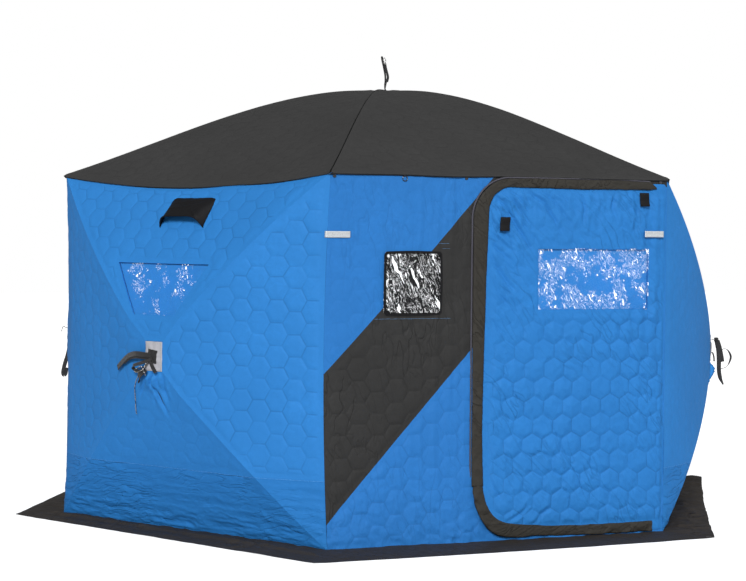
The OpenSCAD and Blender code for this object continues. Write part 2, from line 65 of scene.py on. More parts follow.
COS_30 = math.cos(math.radians(30))          # from a hexagon's corner to the middle of its side
HALF = -low("front_wall_lower").x            # half the length of a side
APOTHEM = -low("front_wall_lower").y         # from the middle to the outer face of a wall
SIDE = APOTHEM / COS_30                      # from the middle to a corner
WALL_TOP = high("front_wall_header").z
EAVE = WALL_TOP + 0.0063
PEAK = high("roof_patch").z
HUB_OUT = high("hub_patches").y - APOTHEM
PATCH_HALF = 0.052
PATCH_FOOT, PATCH_TOP = low("hub_patches").z, high("hub_patches").z
HUB_Z = (PATCH_FOOT + PATCH_TOP) / 2
BAND = 0.295                                 # height of the plain band along a hub wall's foot

UPPER_BOW, LOWER_BOW = 0.038, 0.013          # outward bow of the wall poles
EAVE_DIP = 0.056                             # the eave of a hub wall sags this much in its middle
ROOF_BOW = 0.066
ROOF_INNER = 0.09                            # radius of the patch on the peak
WALL_T = 0.008                               # from a wall's outer skin to its lining
PANE_LAP, COVER_LAP = 0.006, 0.018           # how far panes and covers reach past their openings

DOOR_OUT = -APOTHEM - low("door_panel").y    # the door stands this far proud of the wall
DOOR_LEFT = high("front_wall_lower").x
DOOR_RIGHT = low("front_wall_jamb").x
DOOR_TOP = high("front_wall_jamb").z
DOOR_FOOT = low("door_panel").z - DOOR_OUT
DOOR_TOP_R, DOOR_FOOT_R = 0.13, 0.2

WINDOW_Z0, WINDOW_Z1 = low("wall_window_panes").z, high("wall_window_panes").z
WINDOW_FOOT, WINDOW_HEAD = 0.127, 0.282      # half widths of a hub wall's window
FLATS = 0.098                                # width of a quilted hexagon, from flat to flat

# The walls, anticlockwise seen from above. Corner c lies between wall c - 1 and wall c
FRONT, FRONT_RIGHT, REAR_RIGHT, REAR, REAR_LEFT, FRONT_LEFT = range(6)
HUB_WALLS = {FRONT_RIGHT: "wall_front_right", REAR_RIGHT: "wall_rear_right", REAR: "wall_rear",
             REAR_LEFT: "wall_rear_left", FRONT_LEFT: "wall_front_left"}
GORES = {FRONT: "roof_front", FRONT_RIGHT: "roof_front_right", REAR_RIGHT: "roof_rear_right",
         REAR: "roof_rear", REAR_LEFT: "roof_rear_left", FRONT_LEFT: "roof_front_left"}
VENT_WALLS = (FRONT_LEFT, REAR_RIGHT)


# ---------------------------------------------------------------- camera

CAMERA_AT = (-3.741, -9.2447, 1.391)         # solved from the photo, as the next three are
CAMERA_TURN = (21.7245, -0.9604, 0.5875)     # yaw, pitch and roll in degrees
SENSOR, LENS = 36, 93.23                     # in millimetres
CAMERA_SHIFT = -0.0389
VIEW_END = 200


def make_camera():
    yaw, pitch, roll = (math.radians(v) for v in CAMERA_TURN)
    forward = Vector((math.sin(yaw) * math.cos(pitch), math.cos(yaw) * math.cos(pitch), math.sin(pitch)))
    level = Vector((math.cos(yaw), -math.sin(yaw), 0))
    rise = level.cross(forward)
    right = level * math.cos(roll) + rise * math.sin(roll)
    up = rise * math.cos(roll) - level * math.sin(roll)
    data = bpy.data.cameras.new("camera")
    data.sensor_width = SENSOR
    data.lens = LENS
    data.shift_y = CAMERA_SHIFT
    data.clip_end = VIEW_END
    camera = bpy.data.objects.new("camera", data)
    camera.matrix_world = Matrix.Translation(CAMERA_AT) @ Matrix((right, up, -forward)).transposed().to_4x4()
    bpy.context.scene.collection.objects.link(camera)
    bpy.context.scene.camera = camera


make_camera()


# ---------------------------------------------------------------- materials

CLOTH_ROUGH, CLOTH_SHINE = 0.6, 0.12         # of the coated cloth
WAVE_SCALE = 0.314                           # scale of a wave texture whose bands are a metre apart
HALF_ROOT_3 = math.sqrt(3) / 2


def add(mat, kind, inputs=None, **settings):
    """A shader node, with its settings and with its inputs given as values or as other sockets."""
    node = mat.node_tree.nodes.new("ShaderNode" + kind)
    for key, value in settings.items():
        setattr(node, key, value)
    for key, value in (inputs or {}).items():
        if isinstance(value, bpy.types.NodeSocket):
            mat.node_tree.links.new(value, node.inputs[key])
        else:
            node.inputs[key].default_value = value
    return node


def linear(rgb):
    """A colour given in sRGB from 0 to 255, as the shader wants it."""
    steps = [v / 255 for v in rgb]
    return tuple(v / 12.92 if v <= 0.04045 else ((v + 0.055) / 1.055) ** 2.4 for v in steps) + (1.0,)


def shaded(colour, share):
    return tuple(c * share for c in colour[:3]) + (1.0,)


def blank(name):
    mat = bpy.data.materials.new(name)
    mat.use_nodes = True
    mat.node_tree.nodes.clear()
    return mat


def finish_material(mat, shader):
    add(mat, "OutputMaterial", {"Surface": shader})
    return mat


def coords(mat, by_uv=True):
    return add(mat, "TexCoord").outputs["UV" if by_uv else "Object"]


def calc(mat, operation, *values):
    """What a maths node makes of its inputs."""
    return add(mat, "Math", dict(enumerate(values)), operation=operation).outputs[0]


def calc_vector(mat, operation, *values):
    return add(mat, "VectorMath", dict(enumerate(values)), operation=operation).outputs[0]


def noise(mat, where, scale, detail, roughness=0.5, distortion=0.0):
    return add(mat, "TexNoise", {"Vector": where, "Scale": scale, "Detail": detail, "Roughness": roughness,
                                 "Distortion": distortion})


def bump(mat, strength, distance, height, under=None, **settings):
    """A surface's normal with relief on it, over the relief of another such socket."""
    inputs = {"Strength": strength, "Distance": distance, "Height": height}
    if under is not None:
        inputs["Normal"] = under
    return add(mat, "Bump", inputs, **settings).outputs["Normal"]


def varied(mat, value, least, most):
    """A value from 0 to 1 stretched to run from least to most."""
    return add(mat, "MapRange", {"Value": value, "To Min": least, "To Max": most}).outputs["Result"]


def blend(mat, share, a, b):
    """Colour a turning to colour b; each is a socket or a colour."""
    node = add(mat, "Mix", data_type="RGBA")
    for index, value in ((0, share), (6, a), (7, b)):
        if isinstance(value, bpy.types.NodeSocket):
            mat.node_tree.links.new(value, node.inputs[index])
        else:
            node.inputs[index].default_value = value
    return node.outputs[2]


def ramp(mat, value, a, b):
    """0 below a and 1 above b, straight between them."""
    return add(mat, "MapRange", {"Value": value, "From Min": a, "From Max": b}).outputs["Result"]


def bands(mat, where, pitch, direction, distortion, **more):
    """Bands a pitch apart across a direction, as a height from 0 to 1."""
    return add(mat, "TexWave", {"Vector": where, "Scale": WAVE_SCALE / pitch, "Distortion": distortion,
                                **more},
               bands_direction=direction).outputs["Fac"]


def weave(mat, where, thread):
    """Threads over and under each other, as a height from 0 to 1."""
    return calc(mat, "MULTIPLY", *(bands(mat, where, thread, way, 0.6, Detail=1.0) for way in "XY"))


def seam_nearness(mat):
    """How near a point lies to the seam round its quilted hexagon: 0 in the middle, 1 on the seam."""
    half = (FLATS / 2, FLATS * HALF_ROOT_3, 0.0)
    back = tuple(-v for v in half)
    where = add(mat, "Attribute", attribute_name="seam_at").outputs["Vector"]
    moved = calc_vector(mat, "SUBTRACT", where, half)
    away = [calc_vector(mat, "WRAP", v, half, back) for v in (where, moved)]
    lengths = [add(mat, "VectorMath", {0: v}, operation="LENGTH").outputs["Value"] for v in away]
    first = calc(mat, "LESS_THAN", *lengths)
    shares = (first, calc(mat, "SUBTRACT", 1.0, first))
    kept = [add(mat, "VectorMath", {0: v, "Scale": share}, operation="SCALE").outputs[0]
            for v, share in zip(away, shares)]
    parts = add(mat, "SeparateXYZ", {0: calc_vector(mat, "ABSOLUTE", calc_vector(mat, "ADD", *kept))})
    slant = calc(mat, "MULTIPLY", parts.outputs["Y"], HALF_ROOT_3)
    slant = calc(mat, "MULTIPLY_ADD", parts.outputs["X"], 0.5, slant)
    return calc(mat, "DIVIDE", calc(mat, "MAXIMUM", parts.outputs["X"], slant), FLATS / 2)


def fold_lines(mat, where, angle, stretch, size):
    """Thin fold lines that run mostly one way and come and go, from 0 to 1."""
    laid = add(mat, "Mapping", {"Vector": where, "Rotation": (0, 0, math.radians(angle))}).outputs[0]
    push = calc_vector(mat, "MULTIPLY", noise(mat, laid, 3.0, 2.0).outputs["Color"], (0.14, 0.14, 0.0))
    bent = calc_vector(mat, "ADD", laid, push)
    drawn = add(mat, "Mapping", {"Vector": bent, "Scale": (stretch, 1.0, 1.0)}).outputs[0]
    height = noise(mat, drawn, size, 2.0).outputs["Fac"]
    line = ramp(mat, calc(mat, "ABSOLUTE", calc(mat, "SUBTRACT", height, 0.5)), 0.035, 0.0)
    patchy = noise(mat, where, 2.6, 2.0).outputs["Fac"]
    return calc(mat, "MULTIPLY", line, ramp(mat, patchy, 0.40, 0.62))


def cloth(name, rgb, thread=0.0012, crease=0.35, stitched=True, mottle=0.1, stitch_and_shade_dark=0.3, sink=0.3,
          folds=None):
    """Woven coated cloth: slow colour drift, fine creases, weave, fold lines darkened with painted shade,
    and stitch lines darkened with the stitching and with painted shade of the seam groove. mottle is how far
    its colour drifts, sink how deep its seams look, and folds the fold lines' angle, stretch, size and
    strength."""
    mat = blank(name)
    colour = linear(rgb)
    where = coords(mat)
    slow = noise(mat, where, 2.6, 5.0, 0.6).outputs["Fac"]
    fine = noise(mat, where, 38.0, 6.0, 0.62, 0.7).outputs["Fac"]
    base = blend(mat, ramp(mat, slow, 0.3, 0.7), shaded(colour, 1 - mottle), shaded(colour, 1 + mottle))
    base = blend(mat, ramp(mat, fine, 0.35, 0.75), base, shaded(colour, 1 - mottle * 0.8))
    threads = weave(mat, where, thread)
    base = blend(mat, 0.12, base, blend(mat, threads, shaded(colour, 0.7), shaded(colour, 1.15)))
    surface = bump(mat, crease, 0.004, fine)
    if stitched:
        quilted = add(mat, "Attribute", attribute_name="stitch").outputs["Fac"]
        seam = seam_nearness(mat)
        patchy = noise(mat, where, 9.0, 2.0).outputs["Fac"]
        broken = add(mat, "MapRange", {"Value": patchy, "From Min": 0.4, "From Max": 0.6,
                                       "To Min": 0.25}).outputs[0]
        # darker along the seams: the stitching, and painted shade of the seam groove, broken in patches
        stitch_and_shade_share = calc(mat, "MULTIPLY", calc(mat, "MULTIPLY", ramp(mat, seam, 0.92, 0.965), quilted), broken)
        base = blend(mat, calc(mat, "MULTIPLY", stitch_and_shade_share, stitch_and_shade_dark), base, shaded(colour, 0.3))
        sunk = calc(mat, "MULTIPLY", ramp(mat, seam, 1.0, 0.8), quilted)
    if folds is not None:
        angle, stretch, size, strength = folds
        crossed = fold_lines(mat, where, angle, stretch, size)
        # painted shade along the fold lines: the colour darkens in the creases
        base = blend(mat, calc(mat, "MULTIPLY", crossed, strength * 0.45), base, shaded(colour, 0.4))
        surface = bump(mat, strength, 0.005, crossed, surface, invert=True)
    if stitched:
        surface = bump(mat, sink, 0.0035, sunk, surface)
    surface = bump(mat, 0.25, 0.0004, threads, surface)
    shader = add(mat, "BsdfPrincipled", {
        "Base Color": base, "Roughness": varied(mat, fine, CLOTH_ROUGH - 0.07, CLOTH_ROUGH + 0.1),
        "Normal": surface, "Sheen Weight": 0.0, "Sheen Roughness": 0.4, "Specular IOR Level": CLOTH_SHINE,
        "Coat Weight": 0.0, "Coat Roughness": 0.35})
    return finish_material(mat, shader.outputs["BSDF"])


def webbing_material(name, rgb, by_uv=True, pitch=0.0022):
    """Woven strap: ribs across it and a fine herringbone."""
    mat = blank(name)
    colour = linear(rgb)
    where = coords(mat, by_uv)
    height = calc(mat, "ADD", bands(mat, where, pitch, "Y", 0.3),
                  bands(mat, where, pitch * 1.7, "DIAGONAL", 0.4))
    base = blend(mat, ramp(mat, height, 0.2, 1.8), shaded(colour, 0.6), shaded(colour, 1.7))
    shader = add(mat, "BsdfPrincipled", {"Base Color": base, "Roughness": 0.62, "Sheen Weight": 0.15,
                                         "Normal": bump(mat, 0.7, 0.0008, height)})
    return finish_material(mat, shader.outputs["BSDF"])


def vinyl_material(name, angle, stretch, size, share, cluster):
    """Clear vinyl: glossy and see-through. Its creases are frosted, in streaks that run mostly one way, and
    these streaks are painted white highlights with a faint glow. size is how fine the streaks are, share how
    far above its middle the noise turns white, and cluster how much of the pane has no streaks."""
    mat = blank(name)
    where = add(mat, "Mapping", {"Vector": coords(mat), "Rotation": (0, 0, math.radians(angle))}).outputs[0]
    push = calc_vector(mat, "MULTIPLY", noise(mat, where, 8.0, 3.0, 0.55).outputs["Color"], (0.07, 0.07, 0.0))
    warped = calc_vector(mat, "ADD", where, push)
    streaky = add(mat, "Mapping", {"Vector": warped, "Scale": (stretch, 1.0, 1.0)}).outputs[0]
    fine = noise(mat, streaky, size, 4.5, 0.66, 0.6).outputs["Fac"]
    line = ramp(mat, calc(mat, "ABSOLUTE", calc(mat, "SUBTRACT", fine, 0.47)), 0.009, 0.004)
    broad = ramp(mat, fine, 0.5 + share, 0.512 + share)
    groups = noise(mat, coords(mat), 10.0, 4.0, 0.65).outputs["Fac"]
    here = ramp(mat, groups, cluster, cluster + 0.03)
    # painted highlight: where the creases are frosted, the pane turns white
    painted_glint_share = calc(mat, "MULTIPLY", calc(mat, "MAXIMUM", line, broad), here)
    surface = bump(mat, 0.6, 0.004, fine)
    clear = add(mat, "BsdfTransparent", {"Color": (0.97, 0.99, 1.0, 1)})
    gloss = add(mat, "BsdfGlossy", {"Color": (1, 1, 1, 1), "Roughness": 0.12, "Normal": surface})
    edge = add(mat, "Fresnel", {"IOR": 1.25, "Normal": surface})
    film = add(mat, "MixShader", {0: edge.outputs["Fac"], 1: clear.outputs[0], 2: gloss.outputs[0]})
    # painted highlight with a faint glow, though the film is no lamp
    glint = add(mat, "BsdfPrincipled", {
        "Base Color": (0.95, 0.96, 0.98, 1), "Roughness": 0.25, "Normal": surface,
        "Emission Color": (0.9, 0.95, 1.0, 1), "Emission Strength": 0.5})
    shader = add(mat, "MixShader", {0: painted_glint_share, 1: film.outputs[0], 2: glint.outputs[0]})
    return finish_material(mat, shader.outputs[0])


def hard_material(name, rgb, rough, metallic=0.0, grain=60.0, streak=(1, 1, 1)):
    """Moulded plastic, glass fibre or metal, with grain and slight wear."""
    mat = blank(name)
    colour = linear(rgb)
    where = add(mat, "Mapping", {"Vector": coords(mat, False), "Scale": streak}).outputs[0]
    wear = noise(mat, where, grain, 6.0, 0.6).outputs["Fac"]
    base = blend(mat, ramp(mat, wear, 0.3, 0.75), shaded(colour, 0.8), shaded(colour, 1.2))
    shader = add(mat, "BsdfPrincipled", {"Base Color": base,
                                         "Roughness": varied(mat, wear, rough - 0.06, rough + 0.12),
                                         "Metallic": metallic, "Normal": bump(mat, 0.15, 0.0006, wear)})
    return finish_material(mat, shader.outputs["BSDF"])


def tape_material():
    """Silver reflective tape with a fine grid pressed into it."""
    mat = blank("reflective_tape")
    cells = add(mat, "TexVoronoi", {"Vector": coords(mat, False), "Scale": 420.0}, feature="DISTANCE_TO_EDGE")
    grid = ramp(mat, cells.outputs["Distance"], 0.02, 0.1)
    base = blend(mat, grid, linear((150, 155, 160)), linear((206, 210, 213)))
    shader = add(mat, "BsdfPrincipled", {"Base Color": base, "Roughness": 0.34, "Metallic": 0.25,
                                         "Normal": bump(mat, 0.4, 0.0004, grid)})
    return finish_material(mat, shader.outputs["BSDF"])


def braid_material(name, light, dark, pitch):
    """Braided cord in two colours: the UV runs round the cord and along it."""
    mat = blank(name)
    where = coords(mat)
    strands = bands(mat, where, pitch, "DIAGONAL", 0.5)
    flecks = noise(mat, where, 150.0, 2.0).outputs["Fac"]
    share = calc(mat, "MULTIPLY", ramp(mat, strands, 0.4, 0.6), ramp(mat, flecks, 0.42, 0.5))
    shader = add(mat, "BsdfPrincipled", {"Base Color": blend(mat, share, linear(dark), linear(light)),
                                         "Roughness": 0.7, "Normal": bump(mat, 0.8, 0.0006, strands)})
    return finish_material(mat, shader.outputs["BSDF"])


def net_material():
    """Black insect net: fine square holes."""
    mat = blank("net")
    hole = ramp(mat, weave(mat, coords(mat), 0.0025), 0.28, 0.36)
    solid = add(mat, "BsdfPrincipled", {"Base Color": linear((22, 22, 24)), "Roughness": 0.7})
    clear = add(mat, "BsdfTransparent")
    shader = add(mat, "MixShader", {0: hole, 1: solid.outputs[0], 2: clear.outputs[0]})
    return finish_material(mat, shader.outputs[0])


BLUE = cloth("blue_quilt", (42, 118, 189), crease=0.5, stitch_and_shade_dark=0.32, sink=0.32,
             folds=(-37, 5.0, 4.0, 0.55))
BLUE_FRONT = cloth("blue_front", (42, 113, 184), crease=0.45, stitch_and_shade_dark=0.2, sink=0.14,
                   folds=(-8, 4.0, 4.0, 0.3))
BLUE_SIDE = cloth("blue_taut", (46, 124, 196), crease=0.22, stitch_and_shade_dark=0.28, sink=0.22)
BLUE_BAND = cloth("blue_band", (42, 119, 190), crease=0.4, thread=0.0016, mottle=0.14, stitched=False,
                  folds=(84, 6.0, 5.0, 0.55))
# painted light: the window covers are a lighter blue than the wall cloth, to make up for the shade in the
# window recesses
BLUE_COVER = cloth("blue_cover", (52, 132, 203), crease=0.5, stitched=False)
CHARCOAL = cloth("charcoal_quilt", (49, 49, 49), crease=0.5, mottle=0.16, stitch_and_shade_dark=0.3, sink=0.3,
                 folds=(-8, 4.0, 5.0, 0.6))
ROOF = cloth("charcoal_roof", (58, 58, 58), crease=0.3, mottle=0.14, stitch_and_shade_dark=0.2, sink=0.15)
LINING = cloth("lining", (44, 46, 50), crease=0.4, thread=0.0018)
SKIRT = cloth("skirt_cloth", (60, 55, 50), thread=0.0034, crease=0.6, mottle=0.25, stitched=False,
              folds=(20, 3.0, 5.0, 0.6))
FLAP = cloth("flap_cloth", (54, 52, 48), crease=0.7, mottle=0.2, stitched=False, folds=(48, 2.2, 12.0, 0.8))
BLACK = cloth("black_cloth", (24, 24, 26), crease=0.5, mottle=0.2, stitched=False)
PATCH = cloth("grey_patch", (176, 176, 182), thread=0.0028, crease=0.3, stitched=False)
PIPING = webbing_material("piping", (62, 61, 72), pitch=0.003)
WEBBING = webbing_material("webbing", (20, 20, 22))
PALE_THREAD = webbing_material("pale_thread", (96, 156, 214), by_uv=False, pitch=0.0009)
DARK_THREAD = webbing_material("dark_thread", (30, 30, 32), by_uv=False, pitch=0.0009)
# each vinyl has painted white highlights along its creases
VINYL = vinyl_material("clear_vinyl", -28, 2.8, 26.0, 0.095, 0.46)
CREASED_VINYL = vinyl_material("creased_vinyl", -22, 5.5, 8.5, 0.07, 0.36)
CALM_VINYL = vinyl_material("calm_vinyl", -40, 2.2, 26.0, 0.11, 0.52)
PLASTIC = hard_material("moulded_plastic", (30, 30, 32), 0.42)
ROD = hard_material("glass_fibre_rod", (26, 26, 28), 0.3, grain=240, streak=(1, 1, 0.06))
NICKEL = hard_material("nickel", (88, 88, 92), 0.24, metallic=1.0, grain=300)
TAPE = tape_material()
CORD = braid_material("cord", (196, 190, 180), (24, 22, 24), 0.004)
LOOP_CORD = braid_material("loop_cord", (225, 225, 222), (20, 20, 22), 0.007)
NET = net_material()


# ---------------------------------------------------------------- meshes

def mesh_object(name, points, faces, mat, uv=None, stitch=None, seam_at=None, smooth=True):
    """A mesh from arrays of points and faces. stitch says where a point is quilted, and seam_at where among
    the hexagons it lies."""
    mesh = bpy.data.meshes.new(name)
    mesh.from_pydata(np.asarray(points).tolist(), [], np.asarray(faces).tolist()
                     if isinstance(faces, np.ndarray) else faces)
    if uv is not None:
        loops = np.empty(len(mesh.loops), dtype=np.int64)
        mesh.loops.foreach_get("vertex_index", loops)
        mesh.uv_layers.new(name="uv").data.foreach_set("uv", np.asarray(uv, np.float32)[loops].ravel())
    if stitch is not None:
        mesh.attributes.new("stitch", "FLOAT", "POINT").data.foreach_set(
            "value", np.asarray(stitch, np.float32))
    if seam_at is not None:
        mesh.attributes.new("seam_at", "FLOAT_VECTOR", "POINT").data.foreach_set(
            "vector", np.asarray(seam_at, np.float32).ravel())
    if smooth:
        mesh.shade_smooth()
    mesh.materials.append(mat)
    obj = bpy.data.objects.new(name, mesh)
    bpy.context.scene.collection.objects.link(obj)
    return obj


def smoothstep(x):
    x = np.clip(x, 0, 1)
    return x * x * (3 - 2 * x)


def mix(a, b, t):
    return a + (b - a) * t


def arch(t):
    """0 at both ends and 1 in the middle."""
    return 4 * t * (1 - t)


def smooth_noise(a, b, size, seed=0):
    """Noise from -1 to 1 over a plane, in cells of the given size."""
    x, y = np.asarray(a, float) / size, np.asarray(b, float) / size
    i, j = np.floor(x).astype(np.int64), np.floor(y).astype(np.int64)
    u, v = smoothstep(x - i), smoothstep(y - j)

    def value(p, q):
        h = (p * 374761393 + q * 668265263 + seed * 974711) & 0xFFFFFFFF
        h = ((h ^ (h >> 13)) * 1274126177) & 0xFFFFFFFF
        return ((h ^ (h >> 16)) & 0xFFFF) / 32767.5 - 1

    return mix(mix(value(i, j), value(i + 1, j), u), mix(value(i, j + 1), value(i + 1, j + 1), u), v)


def rough_noise(a, b, size, seed=0):
    """Three sizes of smooth noise together."""
    return (smooth_noise(a, b, size, seed) + 0.5 * smooth_noise(a, b, size / 2.1, seed + 5)
            + 0.25 * smooth_noise(a, b, size / 4.3, seed + 11)) / 1.5


def hexagons(a, b, flat_top):
    """For each point: how near it lies to its hexagon's seam, from 0 to 1, and the hexagon's own number."""
    if flat_top:
        a, b = b, a
    row = FLATS * HALF_ROOT_3
    found = []
    for shift_a, shift_b in ((0, 0), (FLATS / 2, row)):
        i, j = np.round((a - shift_a) / FLATS), np.round((b - shift_b) / (2 * row))
        found.append((a - shift_a - i * FLATS, b - shift_b - j * 2 * row, i * 13 + j * 57 + shift_a * 999))
    first = (found[0][0] ** 2 + found[0][1] ** 2) <= (found[1][0] ** 2 + found[1][1] ** 2)
    da, db, cell = (np.where(first, p, q) for p, q in zip(*found))
    slant_a, slant_b = da / 2, db * HALF_ROOT_3
    seam = np.maximum(np.abs(da), np.maximum(np.abs(slant_a + slant_b), np.abs(slant_a - slant_b)))
    return seam / (FLATS / 2), cell


def plain(points, faces, uv):
    """A panel without quilting, whose area doesn't count."""
    return {"points": points, "faces": faces, "uv": uv, "stitch": np.zeros(len(points)), "area": 0.0}


def grid_faces(rows, columns):
    index = np.arange(rows * columns).reshape(rows, columns)
    return np.stack([index[:-1, :-1], index[:-1, 1:], index[1:, 1:], index[1:, :-1]], axis=2).reshape(-1, 4)


def length_of(line):
    """How far along a line each of its points lies."""
    return np.concatenate([[0], np.cumsum(np.linalg.norm(np.diff(line, axis=0), axis=1))])


def inside(points, ring):
    """Which points lie inside a closed outline."""
    x, y = points[:, 0], points[:, 1]
    result = np.zeros(len(points), bool)
    for (x0, y0), (x1, y1) in zip(ring, np.roll(ring, -1, axis=0)):
        if y0 != y1:
            crosses = (y0 > y) != (y1 > y)
            result ^= crosses & (x < (x1 - x0) * (y - y0) / (y1 - y0) + x0)
    return result


def distance_to(points, line, closed=True):
    """How far each point lies from a line of straight stretches."""
    best = np.full(len(points), 1e9)
    ends = np.roll(line, -1, axis=0) if closed else line[1:]
    for p, q in zip(line, ends):
        d = q - p
        length = max(float(d @ d), 1e-12)
        t = np.clip(((points - p) @ d) / length, 0, 1)
        best = np.minimum(best, np.hypot(*(points - p - t[:, None] * d).T))
    return best


def spaced(line, step, closed=True):
    """The same line with a point at least every step."""
    out = []
    ends = np.roll(line, -1, axis=0) if closed else line[1:]
    for p, q in zip(line, ends):
        n = max(1, int(math.ceil(float(np.hypot(*(q - p))) / step)))
        out.extend(p + (q - p) * i / n for i in range(n))
    if not closed:
        out.append(line[-1])
    return np.array(out)


def lattice(low_corner, high_corner, step, flat_top):
    """Points in triangles that line up with the quilted hexagons."""
    (x0, y0), (x1, y1) = (low_corner, high_corner) if not flat_top else (low_corner[::-1], high_corner[::-1])
    column = step * HALF_ROOT_3
    rows = []
    for i in range(int(math.floor(x0 / column)), int(math.ceil(x1 / column)) + 1):
        j = np.arange(math.floor(y0 / step) - 1, math.ceil(y1 / step) + 1)
        rows.append(np.stack([np.full(len(j), i * column), (j + (i % 2) / 2) * step], axis=1))
    points = np.concatenate(rows)
    return points[:, ::-1] if flat_top else points


def normals(place, a, b):
    """The way that a surface faces, from steps of e either way along it."""
    e = 2e-4
    n = np.cross(place(a + e, b) - place(a - e, b), place(a, b + e) - place(a, b - e))
    return n / np.maximum(np.linalg.norm(n, axis=1), 1e-12)[:, None]


SLIVER = 0.01                                # a triangle's least doubled area, over its step squared
BEND, BEND_CELL = 0.006, 0.13                # the quilting's seams wander this much, over this distance
DEEPEST = -0.006                             # of a fold in a panel with still places


def doubled_areas(flat, faces):
    corners = flat[faces]
    d1, d2 = corners[:, 1] - corners[:, 0], corners[:, 2] - corners[:, 0]
    return d1[:, 0] * d2[:, 1] - d1[:, 1] * d2[:, 0]


def panel(outline, place, puff=0.0, fineness=6, flat_top=True, holes=(), folds=(), flats=(), hem=0.014,
          wave=0.0012, groove=0.0015, lift=0.0, relief=None, still=None, crisp=4.0, sewn=False, seed=0,
          marked=None):
    """A panel of cloth, cut to a flat outline with holes, quilted, and placed in space by place(a, b).
    puff is how far a quilted cell swells, and fineness how many triangles lie along a cell's side.
    folds are lines with a width and a height; flats are boxes without quilting; relief adds height;
    crisp is how flat each cell's middle is; a sewn panel keeps to its outline's height at its edges;
    still is where the cloth lies flat under something; marked is how strongly the quilting shows."""
    step = FLATS / math.sqrt(3) / fineness
    rings = [np.array(r, float) for r in (outline, *holes)]
    fill = lattice(rings[0].min(axis=0), rings[0].max(axis=0), step, flat_top)
    edge = np.minimum.reduce([distance_to(fill, r) for r in rings])
    keep = inside(fill, rings[0]) & (edge > 0.45 * step)
    for hole in rings[1:]:
        keep &= ~inside(fill, hole)
    fill = fill[keep]
    cut = [spaced(r, step) for r in rings]
    verts = np.concatenate(cut + [fill])
    seams, start = [], 0
    for ring in cut:
        seams += [(start + i, start + (i + 1) % len(ring)) for i in range(len(ring))]
        start += len(ring)
    made = delaunay_2d_cdt([Vector(v) for v in verts], seams, [], 0, 1e-7)
    flat = np.array([tuple(v) for v in made[0]])
    faces = np.array([f for f in made[2] if len(f) == 3])
    middles = flat[faces].mean(axis=1)
    good = inside(middles, rings[0]) & (np.abs(doubled_areas(flat, faces)) > SLIVER * step ** 2)
    for hole in rings[1:]:
        good &= ~inside(middles, hole)
    faces = faces[good]
    used = np.unique(faces)
    renumber = np.full(len(flat), -1)
    renumber[used] = np.arange(len(used))
    flat, faces = flat[used], renumber[faces]
    a, b = flat[:, 0], flat[:, 1]
    turn = doubled_areas(flat, faces)
    faces[turn < 0] = faces[turn < 0][:, ::-1]

    edge = np.minimum.reduce([distance_to(flat, r) for r in rings])
    bent_a = a + BEND * smooth_noise(a, b, BEND_CELL, 7)
    bent_b = b + BEND * smooth_noise(a, b, BEND_CELL, 8)
    seam, cell = hexagons(bent_a, bent_b, flat_top)
    seam_at = np.stack([bent_b, bent_a, 0 * a] if flat_top else [bent_a, bent_b, 0 * a], axis=1)
    calm = smoothstep((edge - hem) / 0.03)
    shown = 1.0 if marked is None else marked(a, b)
    for a0, b0, a1, b1 in flats:
        outside = np.maximum(np.maximum(a0 - a, a - a1), np.maximum(b0 - b, b - b1))
        calm = calm * smoothstep(outside / 0.025)
    if still is not None:
        calm = calm * still(flat)
    swell = (0.85 + 0.3 * smooth_noise(cell, cell * 0.7, 1.0, seed)) * (0.85 + 0.45 * smooth_noise(a, b, 0.24,
                                                                                                   9))
    height = puff * swell * (1 - np.clip(seam, 0, 1) ** crisp) * calm * (0.25 + 0.75 * shown)
    height += puff * 0.3 * rough_noise(a, b, 0.04, seed + 3) * calm * np.clip(1.15 - seam, 0, 1)
    height += wave * rough_noise(a, b, 0.3, 21)
    for line, width, depth in folds:
        line = np.array(line, float)
        away = distance_to(flat, line, closed=False)
        reach = np.hypot(*(flat - line[-1]).T) / max(float(np.hypot(*(line[-1] - line[0]))), 1e-6)
        fade = smoothstep(reach * 2.2)
        beside = np.exp(-((away - 1.7 * width) / width) ** 2)
        height += depth * fade * (np.exp(-(away / width) ** 2) - 0.45 * beside)
    if relief is not None:
        height += relief(a, b)
    if still is not None:
        height = np.maximum(height * (0.2 + 0.8 * still(flat)), DEEPEST)
    if sewn:
        height *= smoothstep(edge / 0.03)
    else:
        height -= groove * (1 - smoothstep(edge / 0.009))
    stitch = np.where(puff > 0, smoothstep((edge - hem) / 0.01), 0) * np.minimum(calm * 3, 1) * shown
    points = place(a, b) + normals(place, a, b) * (height + lift)[:, None]
    return {"points": points, "faces": faces, "uv": flat, "stitch": stitch, "seam_at": seam_at,
            "area": 0.5 * float(np.abs(turn).sum())}


def turned(made):
    """The same panel, facing the other way."""
    return {**made, "faces": made["faces"][:, ::-1]}


def rim(outline, place, top, foot, step=0.01):
    """The cut edge of a panel, from its outer skin at height top to its lining at foot."""
    ring = spaced(np.array(outline, float), step)
    a, b = ring[:, 0], ring[:, 1]
    base, out = place(a, b), normals(place, a, b)
    n = len(ring)
    levels = [base + out * h for h in (top, mix(top, foot, 0.5), foot)]
    faces = []
    for level in range(2):
        for i in range(n):
            j = (i + 1) % n
            p, q = level * n + i, level * n + j
            faces += [(p, q, q + n), (p, q + n, p + n)]
    return plain(np.concatenate(levels), np.array(faces), np.concatenate([ring, ring + 0.004, ring + 0.008]))


def joined(name, parts, mat):
    """Several panels as one object."""
    start, faces = 0, []
    for part in parts:
        faces.append(part["faces"] + start)
        start += len(part["points"])
    seam_at = [p.get("seam_at", np.zeros((len(p["points"]), 3))) for p in parts]
    return mesh_object(name, np.concatenate([p["points"] for p in parts]), np.concatenate(faces), mat,
                       np.concatenate([p["uv"] for p in parts]), np.concatenate([p["stitch"] for p in parts]),
                       np.concatenate(seam_at))


